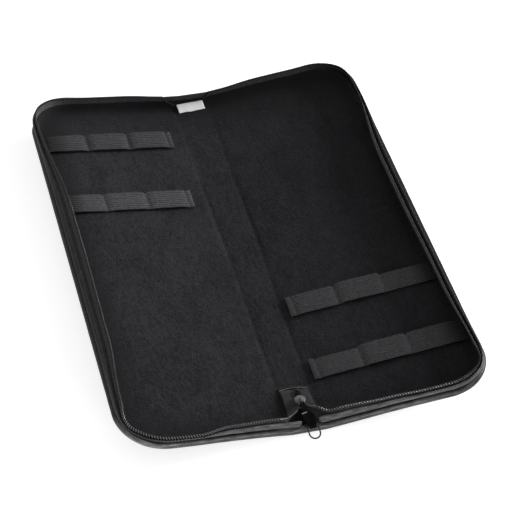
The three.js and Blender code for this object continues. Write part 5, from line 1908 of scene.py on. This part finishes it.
@dataclass
class ZipSlider:
    """The slider with its puller and ring, each turned with the slider's yaw into place.

    The puller's outline and cuts and the barrel's profile are about the puller's pivot.
    """

    shape: CaseShape
    finishes: Finishes
    middle: float = -1.0
    set_in: float = 31.0
    yaw: float = np.radians(4.4)
    length: float = 11.0
    width: float = 9.6
    mouth: float = 6.0
    lower_foot: float = 4.8
    upper_foot: float = 9.7
    flange_foot: float = 8.5
    wing: float = 1.1
    crown: float = 0.45
    wing_corners: int = 48
    underside: tuple = (0.02, 0.35, 0.6, 0.8, 0.95)
    topside: tuple = (0.93, 0.8, 0.6, 0.4, 0.2, 0.02)
    bridge_y: float = -1.95
    bridge_half: float = 1.7
    bridge_rise: float = 3.0
    pivot_z: float = 12.15
    puller_slope: float = np.radians(4.0)
    puller_outline: tuple = (
        (1.6, 0.6), (1.7, -2.0), (2.0, -5.0), (2.4, -9.0), (2.6, -13.6), (3.3, -15.6),
        (4.5, -16.9), (5.0, -18.4), (5.0, -21.0), (4.7, -24.6), (4.1, -27.4), (3.7, -29.0),
    )
    eye: tuple = ((-0.95, -3.9), (0.95, -3.9), (0.95, -0.6), (-0.95, -0.6))
    window: tuple = ((-2.2, -27.6), (2.2, -27.6), (2.2, -25.4), (-2.2, -25.4))
    puller_extrude: float = 0.5
    puller_bevel: float = 0.25
    # Where a painted highlight lies along the puller's shoulder.
    shoulder_highlight: tuple = ((-4.6, -15.6, 0.75), (0.2, -14.8, 0.75))
    reach: float = 30.8
    barrel_radius: float = 1.6
    bore_radius: float = 0.95
    barrel_half: float = 3.0
    barrel_sides: int = 28
    ring_drop: float = np.radians(23.0)
    ring_half: float = 4.8
    ring_bend: float = 1.2
    ring_leg: float = 5.6
    wire_width: float = 1.35

    def placed(self, points: Array) -> Array:
        """Turns points of the slider by its yaw and moves them to it.

        Args:
            points: Places about the slider's middle, with heights over the underside.

        Returns:
            The points in space.
        """
        cos, sin = np.cos(self.yaw), np.sin(self.yaw)
        x = points[..., 0] * cos - points[..., 1] * sin + self.middle
        y = points[..., 0] * sin + points[..., 1] * cos + self.shape.near_end + self.set_in
        return np.stack([x, y, points[..., 2]], axis=-1)

    def placed_way(self, way: tuple) -> Array:
        """Turns a direction by the slider's yaw."""
        return self.placed(np.array(way)) - self.placed(np.zeros(3))

    def hung(self, points: Array, drop: float, pivot: tuple) -> Array:
        """Turns points about an axis across the slider, then places them in space.

        Args:
            points: Places about the pivot.
            drop: The angle down.
            pivot: The pivot's place along the slider and its height.

        Returns:
            The points in space.
        """
        cos, sin = np.cos(drop), np.sin(drop)
        y = points[..., 1] * cos - points[..., 2] * sin + pivot[0]
        z = points[..., 1] * sin + points[..., 2] * cos + pivot[1]
        return self.placed(np.stack([points[..., 0], y, z], axis=-1))

    def on_puller(self, points: Array) -> Array:
        """Puts places about the puller's pivot where they lie in space."""
        return self.hung(points, self.puller_slope, (self.bridge_y, self.pivot_z))

    def wing_outline(self) -> Array:
        """Draws the shield: two cubic curves a side, from the narrow mouth to the pointed tail.

        Returns:
            The corners about its middle, across and along.
        """
        mouth, broad, half = self.mouth / 2, self.width / 2, self.length / 2
        curves = np.array([
            [[mouth, -half], [mouth, -half / 3], [broad, -half / 6], [broad, half / 4]],
            [[broad, half / 4], [broad, half * 0.75], [mouth / 2, half * 0.85], [0.0, half]],
        ])
        share = np.linspace(0.0, 1.0, 20)[:, None]
        back = 1 - share
        weights = np.hstack([back**3, 3 * share * back**2, 3 * share**2 * back, share**3])
        right = np.vstack([weights @ curves[0], (weights @ curves[1])[1:]])
        left = right[::-1][1:] * np.array([-1.0, 1.0])
        return evenly(np.vstack([right, left, right[:1]]), self.wing_corners + 1)[:-1]

    def wing_rings(self, foot: float, crown: float) -> Array:
        """Stacks rings of the shield into a plate with round edges.

        From the middle of the underside to that of the top, the outline grows to full size,
        turns over a half round edge, and shrinks again. The top is crowned.

        Args:
            foot: The height of its underside.
            crown: How far the middle of its top stands over its rim.

        Returns:
            Rows of points in space.
        """
        outline, radius = self.wing_outline(), self.wing / 2
        low, top = np.array(self.underside), np.array(self.topside)
        turn = np.linspace(-np.pi / 2, np.pi / 2, 9)
        edge = radius * (1 - np.cos(turn))
        inset = np.concatenate([np.full(len(low), radius), edge, np.full(len(top), radius)])
        scale = np.concatenate([low, np.ones(len(turn)), top])
        flat = np.full(len(low), -radius)
        height = np.concatenate([flat, radius * np.sin(turn), np.full(len(top), radius)])
        lift = np.concatenate([np.zeros(len(low) + len(turn)), crown * (1 - top**2)])
        inward = unit(-outline)[None] * (inset * scale)[:, None, None]
        rings = outline[None] * scale[:, None, None] + inward
        tall = (foot + radius + height + lift)[:, None, None]
        tall = np.broadcast_to(tall, (*rings.shape[:2], 1))
        return self.placed(np.concatenate([rings, tall], axis=2))

    def body(self) -> None:
        """Makes the slider: two shields, the post and flanges between them, and the bridge."""
        lower = grid("slider_lower_wing", self.wing_rings(self.lower_foot, 0.0), ring=True)
        upper = grid("slider_upper_wing", self.wing_rings(self.upper_foot, self.crown), ring=True)
        dress(lower, self.finishes.slider, Slot.SLIDER, body="slider")
        dress(upper, self.finishes.slider, Slot.SLIDER, "slider_body", body="slider")
        top, y = self.upper_foot + 0.6, 2.5 - self.length / 2
        post = self.placed(evenly(np.array([[0.0, y, self.lower_foot + 0.6], [0.0, y, top]]), 4))
        bar, ahead = rounded_section(1.6, 2.4, 14, 1.5), np.array([0.0, 1.0, 0.0])
        dress(tube("slider_post", post, ahead, bar), self.finishes.wire, Slot.SLIDER, body="slider")
        across, rail = self.placed_way((1.0, 0.0, 0.0)), rounded_section(6.0, 0.8, 12, 1.8)
        for side in Side:
            x = side.value * (self.width / 2 - 0.55)
            line = self.placed(evenly(np.array([[x, 0.2, self.flange_foot], [x, 0.2, top]]), 4))
            flange = tube(f"slider_{side.word}_flange", line, across, rail)
            dress(flange, self.finishes.slider, Slot.SLIDER, body="slider")
        self.bridge()

    def bridge(self) -> None:
        """Makes the bridge, a rounded bar bent into an arch over the upper shield."""
        half, foot = self.bridge_half, self.upper_foot + self.wing
        top = foot + self.bridge_rise
        left = [[-half, foot - 0.3], [-half, top - 1.5], [0.35 - half, top - 0.45], [1.2 - half, top]]
        right = [[-y, z] for y, z in reversed(left)]
        y, z = np.array([*left, [0.0, top + 0.12], *right]).T
        line = self.placed(through(np.stack([0.0 * y, y + self.bridge_y, z], axis=1), 40))
        section = rounded_section(1.0, 1.4, 14, 1.7)
        piece = tube("slider_bridge", line, self.placed_way((1.0, 0.0, 0.0)), section)
        dress(piece, self.finishes.slider, Slot.SLIDER, body="slider")

    def puller(self) -> None:
        """Makes the puller, a plate with eased edges and its eye and window cut.

        Its right side is a smooth line through a few points and its left side the mirror of it.
        A filled curve gives the plate its cuts and round edges, and is made a mesh.
        """
        right = through(np.array(self.puller_outline), 30)
        whole = np.vstack([right, right[::-1] * np.array([-1.0, 1.0])])
        curve = bpy.data.curves.new("puller_outline", "CURVE")
        curve.dimensions = "2D"
        curve.fill_mode = "BOTH"
        curve.extrude = self.puller_extrude * MM
        curve.bevel_depth = self.puller_bevel * MM
        curve.bevel_resolution = 2
        curve.offset = -self.puller_bevel * MM
        for loop in (whole, np.array(self.eye), np.array(self.window)):
            spline = curve.splines.new("POLY")
            spline.points.add(len(loop) - 1)
            flat = np.hstack([loop * MM, np.zeros((len(loop), 1)), np.ones((len(loop), 1))])
            spline.points.foreach_set("co", flat.ravel())
            spline.use_cyclic_u = True
        holder = link("puller_outline", curve)
        bpy.context.view_layer.update()
        graph = bpy.context.evaluated_depsgraph_get()
        mesh = bpy.data.meshes.new_from_object(holder.evaluated_get(graph))
        bpy.data.objects.remove(holder)
        flat = np.empty(len(mesh.vertices) * 3)
        mesh.vertices.foreach_get("co", flat)
        points = self.on_puller(flat.reshape(-1, 3) / MM)
        mesh.vertices.foreach_set("co", (points * MM).ravel())
        mesh.update()
        dress(link("zip_puller", mesh), self.finishes.puller, Slot.PULLER, "puller", body="puller")

    def barrel(self) -> None:
        """Makes the barrel, a short pipe that the ring's wire runs through, and a painted highlight on
        the shoulder.
        """
        outer, bore = self.barrel_radius, self.bore_radius
        half, sides = self.barrel_half, self.barrel_sides
        profile = np.array([
            [-half + 0.2, outer], [half - 0.2, outer], [half, outer - 0.2], [half, bore + 0.15],
            [half - 0.15, bore], [-half + 0.15, bore], [-half, bore + 0.15], [-half, outer - 0.2],
        ])
        turn = (np.arange(sides) / sides * TURN)[:, None]
        x, radius = profile.T
        y, z = radius * np.cos(turn) - self.reach, radius * np.sin(turn)
        points = self.on_puller(np.stack([np.broadcast_to(x, y.shape), y, z], axis=-1))
        piece = grid("puller_barrel", points, ring=True, loop=True)
        piece.data.set_sharp_from_angle(angle=np.radians(40.0))
        dress(piece, self.finishes.puller, Slot.PULLER, body="puller")
        # A light bar along the puller's shoulder paints its highlight.
        bar = self.on_puller(evenly(np.array(self.shoulder_highlight), 4))
        worn = tube("puller_shoulder_highlight", bar, UP, rounded_section(1.1, 0.35, 10, 1.4))
        dress(worn, self.finishes.worn, Slot.PULLER, body="puller")

    def ring(self) -> None:
        """Makes the wire ring: a bar in the barrel, two short legs and a half round."""
        half, bend, count = self.ring_half, self.ring_bend, 96
        turn, low = np.linspace(np.pi / 2, 0.0, 6), np.linspace(0.0, -np.pi, 30)
        corner = np.stack([half - bend + bend * np.cos(turn), -bend + bend * np.sin(turn)], axis=1)
        bow = np.stack([half * np.cos(low), -self.ring_leg + half * np.sin(low)], axis=1)
        other = corner[::-1] * np.array([-1.0, 1.0])
        line = evenly(np.vstack([corner, bow, other, corner[:1]]), count + 1)[:-1]
        y = self.bridge_y - self.reach * np.cos(self.puller_slope)
        z = self.pivot_z - self.reach * np.sin(self.puller_slope)
        stands = np.vstack([np.hstack([line, np.zeros((count, 1))]), UP, np.zeros(3)])
        *placed, tip, root = self.hung(stands, self.puller_slope + self.ring_drop, (y, z))
        section = rounded_section(self.wire_width, self.wire_width, 12)
        piece = tube("wire_ring", np.array(placed), tip - root, section, closed=True)
        dress(piece, self.finishes.wire, Slot.PULLER, "pull_ring", body="ring")

    def build(self) -> None:
        """Makes the slider and what hangs on it."""
        self.body()
        self.puller()
        self.barrel()
        self.ring()


# The room


@dataclass
class Studio:
    """The floor, the lights and the camera at the photograph's angle."""

    lens: float = 136.53
    place: tuple = (-0.320695, -1.315842, 1.192539)
    azimuth: float = -14.139
    elevation: float = 41.426
    roll: float = -0.490
    floor_half: float = 4000.0
    floor_drop: float = 0.25
    floor_tone: float = 0.8
    floor_glow: float = 0.75
    world_glow: float = 0.42

    def camera(self) -> None:
        """Makes the camera: it looks back along its azimuth and elevation, with a slight roll."""
        az, el, roll = (np.radians(v) for v in (self.azimuth, self.elevation, self.roll))
        back = Vector((np.sin(az) * np.cos(el), -np.cos(az) * np.cos(el), np.sin(el)))
        level = (-back).cross(Vector((0.0, 0.0, 1.0))).normalized()
        under = (-back).cross(level)
        right = np.cos(roll) * level + np.sin(roll) * under
        up = np.sin(roll) * level - np.cos(roll) * under
        data = bpy.data.cameras.new("camera")
        data.lens = self.lens
        data.sensor_width = 36.0
        data.clip_end = 50.0
        camera = link("camera", data)
        turn = Matrix((right, up, back)).transposed().to_4x4()
        camera.matrix_world = Matrix.Translation(self.place) @ turn
        bpy.context.scene.camera = camera

    def floor(self) -> None:
        """Makes the white floor: seen directly it glows to white but keeps the case's shadow."""
        corners = self.floor_half * np.array([[-1, -1], [1, -1], [1, 1], [-1, 1]])
        points = np.hstack([corners, np.full((4, 1), -self.floor_drop)])
        floor = mesh_object("floor", points, [(0, 1, 2, 3)])
        shade = Shading("white_floor")
        path = shade.add("LightPath", {}).outputs
        seen = shade.maths("MAXIMUM", path["Is Camera Ray"], path["Is Glossy Ray"])
        seen = shade.maths("MAXIMUM", seen, path["Is Transmission Ray"])
        material = shade.finish(
            Base_Color=(self.floor_tone, self.floor_tone, self.floor_tone, 1.0),
            Roughness=0.9,
            Specular_IOR_Level=0.0,
            Emission_Color=(1.0, 1.0, 1.0, 1.0),
            Emission_Strength=shade.times(seen, self.floor_glow),
        )
        floor.data.materials.append(material)

    def world(self) -> None:
        """Makes the white surroundings, dimmer as light than as what the eye sees."""
        world = bpy.data.worlds.new("studio")
        bpy.context.scene.world = world
        world.use_nodes = True
        nodes, links = world.node_tree.nodes, world.node_tree.links
        nodes.clear()
        kinds = ("LightPath", "Math", "MapRange", "Background", "OutputWorld")
        path, seen, strength, background, output = (nodes.new(f"ShaderNode{kind}") for kind in kinds)
        seen.operation = "MAXIMUM"
        strength.inputs["To Min"].default_value = self.world_glow
        strength.inputs["To Max"].default_value = 1.0
        links.new(path.outputs["Is Camera Ray"], seen.inputs[0])
        links.new(path.outputs["Is Glossy Ray"], seen.inputs[1])
        links.new(seen.outputs[0], strength.inputs["Value"])
        links.new(strength.outputs["Result"], background.inputs["Strength"])
        links.new(background.outputs[0], output.inputs["Surface"])

    def lamp(self, name: str, place: tuple, size: float, power: float) -> None:
        """Hangs a square soft light that faces the case.

        Args:
            name: The lamp's name.
            place: Where it hangs, in metres.
            size: Its width, in metres.
            power: Its power, in watts.
        """
        data = bpy.data.lights.new(name, "AREA")
        data.size = size
        data.energy = power
        lamp = link(name, data)
        lamp.location = place
        lamp.rotation_mode = "QUATERNION"
        lamp.rotation_quaternion = (-Vector(place)).to_track_quat("-Z", "Y")

    def build(self) -> None:
        """Makes the room."""
        self.camera()
        self.floor()
        self.world()
        self.lamp("key_light", (2.25, 0.35, 0.62), 1.0, 84.0)
        self.lamp("front_light", (0.5, -2.2, 0.55), 0.55, 11.0)


def walls(shape: CaseShape, finishes: Finishes) -> list[Wall]:
    """Sets out the two walls with their own ways over the creases.

    Args:
        shape: The case's shape.
        finishes: The materials.

    Returns:
        The left wall and the right wall.
    """
    both = {"shape": shape, "finishes": finishes}
    left_rim = (
        (-18.97, -228.4, 15.89), (-13.16, -223.6, 13.48), (-7.35, -217.2, 10.64),
        (-4.56, -211.9, 8.45), (-3.4, -207.1, 8.45),
    )
    left_foot = (
        (-21.4, -228.1, 7.7), (-17.44, -223.9, 7.17), (-15.46, -219.5, 6.96), (-14.8, -214.3, 6.85),
    )
    left_far = ((-28.5, 228.3, 16.3), (-24.5, 228.5, 12.6), (-19.6, 228.6, 8.6), (-17.4, 228.3, 7.4))
    right_rim = (
        (17.44, -228.2, 16.98), (9.99, -220.3, 14.9), (6.77, -215.2, 11.19),
        (3.79, -210.9, 8.45), (1.8, -207.1, 8.45),
    )
    right_foot = (
        (19.55, -228.1, 7.7), (14.48, -223.9, 7.17), (11.95, -219.5, 6.96), (11.1, -214.3, 6.85),
    )
    right_far = ((15.6, 228.3, 15.6), (12.8, 228.2, 13.4), (10.6, 228.0, 11.5))
    left = Wall(
        side=Side.LEFT, band_stop=7.0, near_narrowing=0.75, rim_near=Crossing(13.1, left_rim),
        foot_near=Crossing(13.1, left_foot), rim_far=Crossing(17.2, left_far), **both,
    )
    right = Wall(
        side=Side.RIGHT, band_stop=8.0, rim_near=Crossing(13.1, right_rim),
        foot_near=Crossing(13.1, right_foot), rim_far=Crossing(3.4, right_far), **both,
    )
    return [left, right]


def webbings(shape: CaseShape, finishes: Finishes) -> list[Webbing]:
    """Sets out the four lengths of elastic, by their places along and across the case.

    Args:
        shape: The case's shape.
        finishes: The materials.

    Returns:
        The webbings from the far end to the near one.
    """
    left = {"side": Side.LEFT, "inner": 17.25, "seams": (60.6, 100.65)}
    right = {"side": Side.RIGHT, "inner": 4.05, "seams": (48.45, 92.55)}
    rows = (
        ("left_far", left, 0.869, (2.0, 1.9, 1.6), (0.0, 0.0, 0.0)),
        ("left_middle", left, 0.671, (1.4, 1.2, 1.0), (0.0, 0.0, 0.0)),
        ("right_middle", right, 0.317, (1.0, 1.6, 0.8), (0.0, 0.9, -2.0)),
        ("right_near", right, 0.145, (0.9, 1.5, 1.2), (-1.9, 0.5, 0.3)),
    )
    return [
        Webbing(
            f"{name}_webbing", f"{name}_elastic", along=shape.near_end + share * shape.length,
            rises=rises, steps=steps, shape=shape, finishes=finishes, **half,
        )
        for name, half, share, rises, steps in rows
    ]


def main() -> None:
    """Builds the room and then the case, sub-assembly by sub-assembly."""
    logging.basicConfig(level=logging.INFO, format="%(name)s: %(message)s")
    bpy.context.scene.view_settings.view_transform = "Standard"
    Studio().build()
    shape, finishes = CaseShape(), Finishes()
    Floor(shape, finishes).build()
    for wall in walls(shape, finishes):
        wall.build()
    for webbing in webbings(shape, finishes):
        webbing.build()
    SpineTrim(shape, finishes).build()
    ZipSlider(shape, finishes).build()


if __name__ == "__main__":
    main()
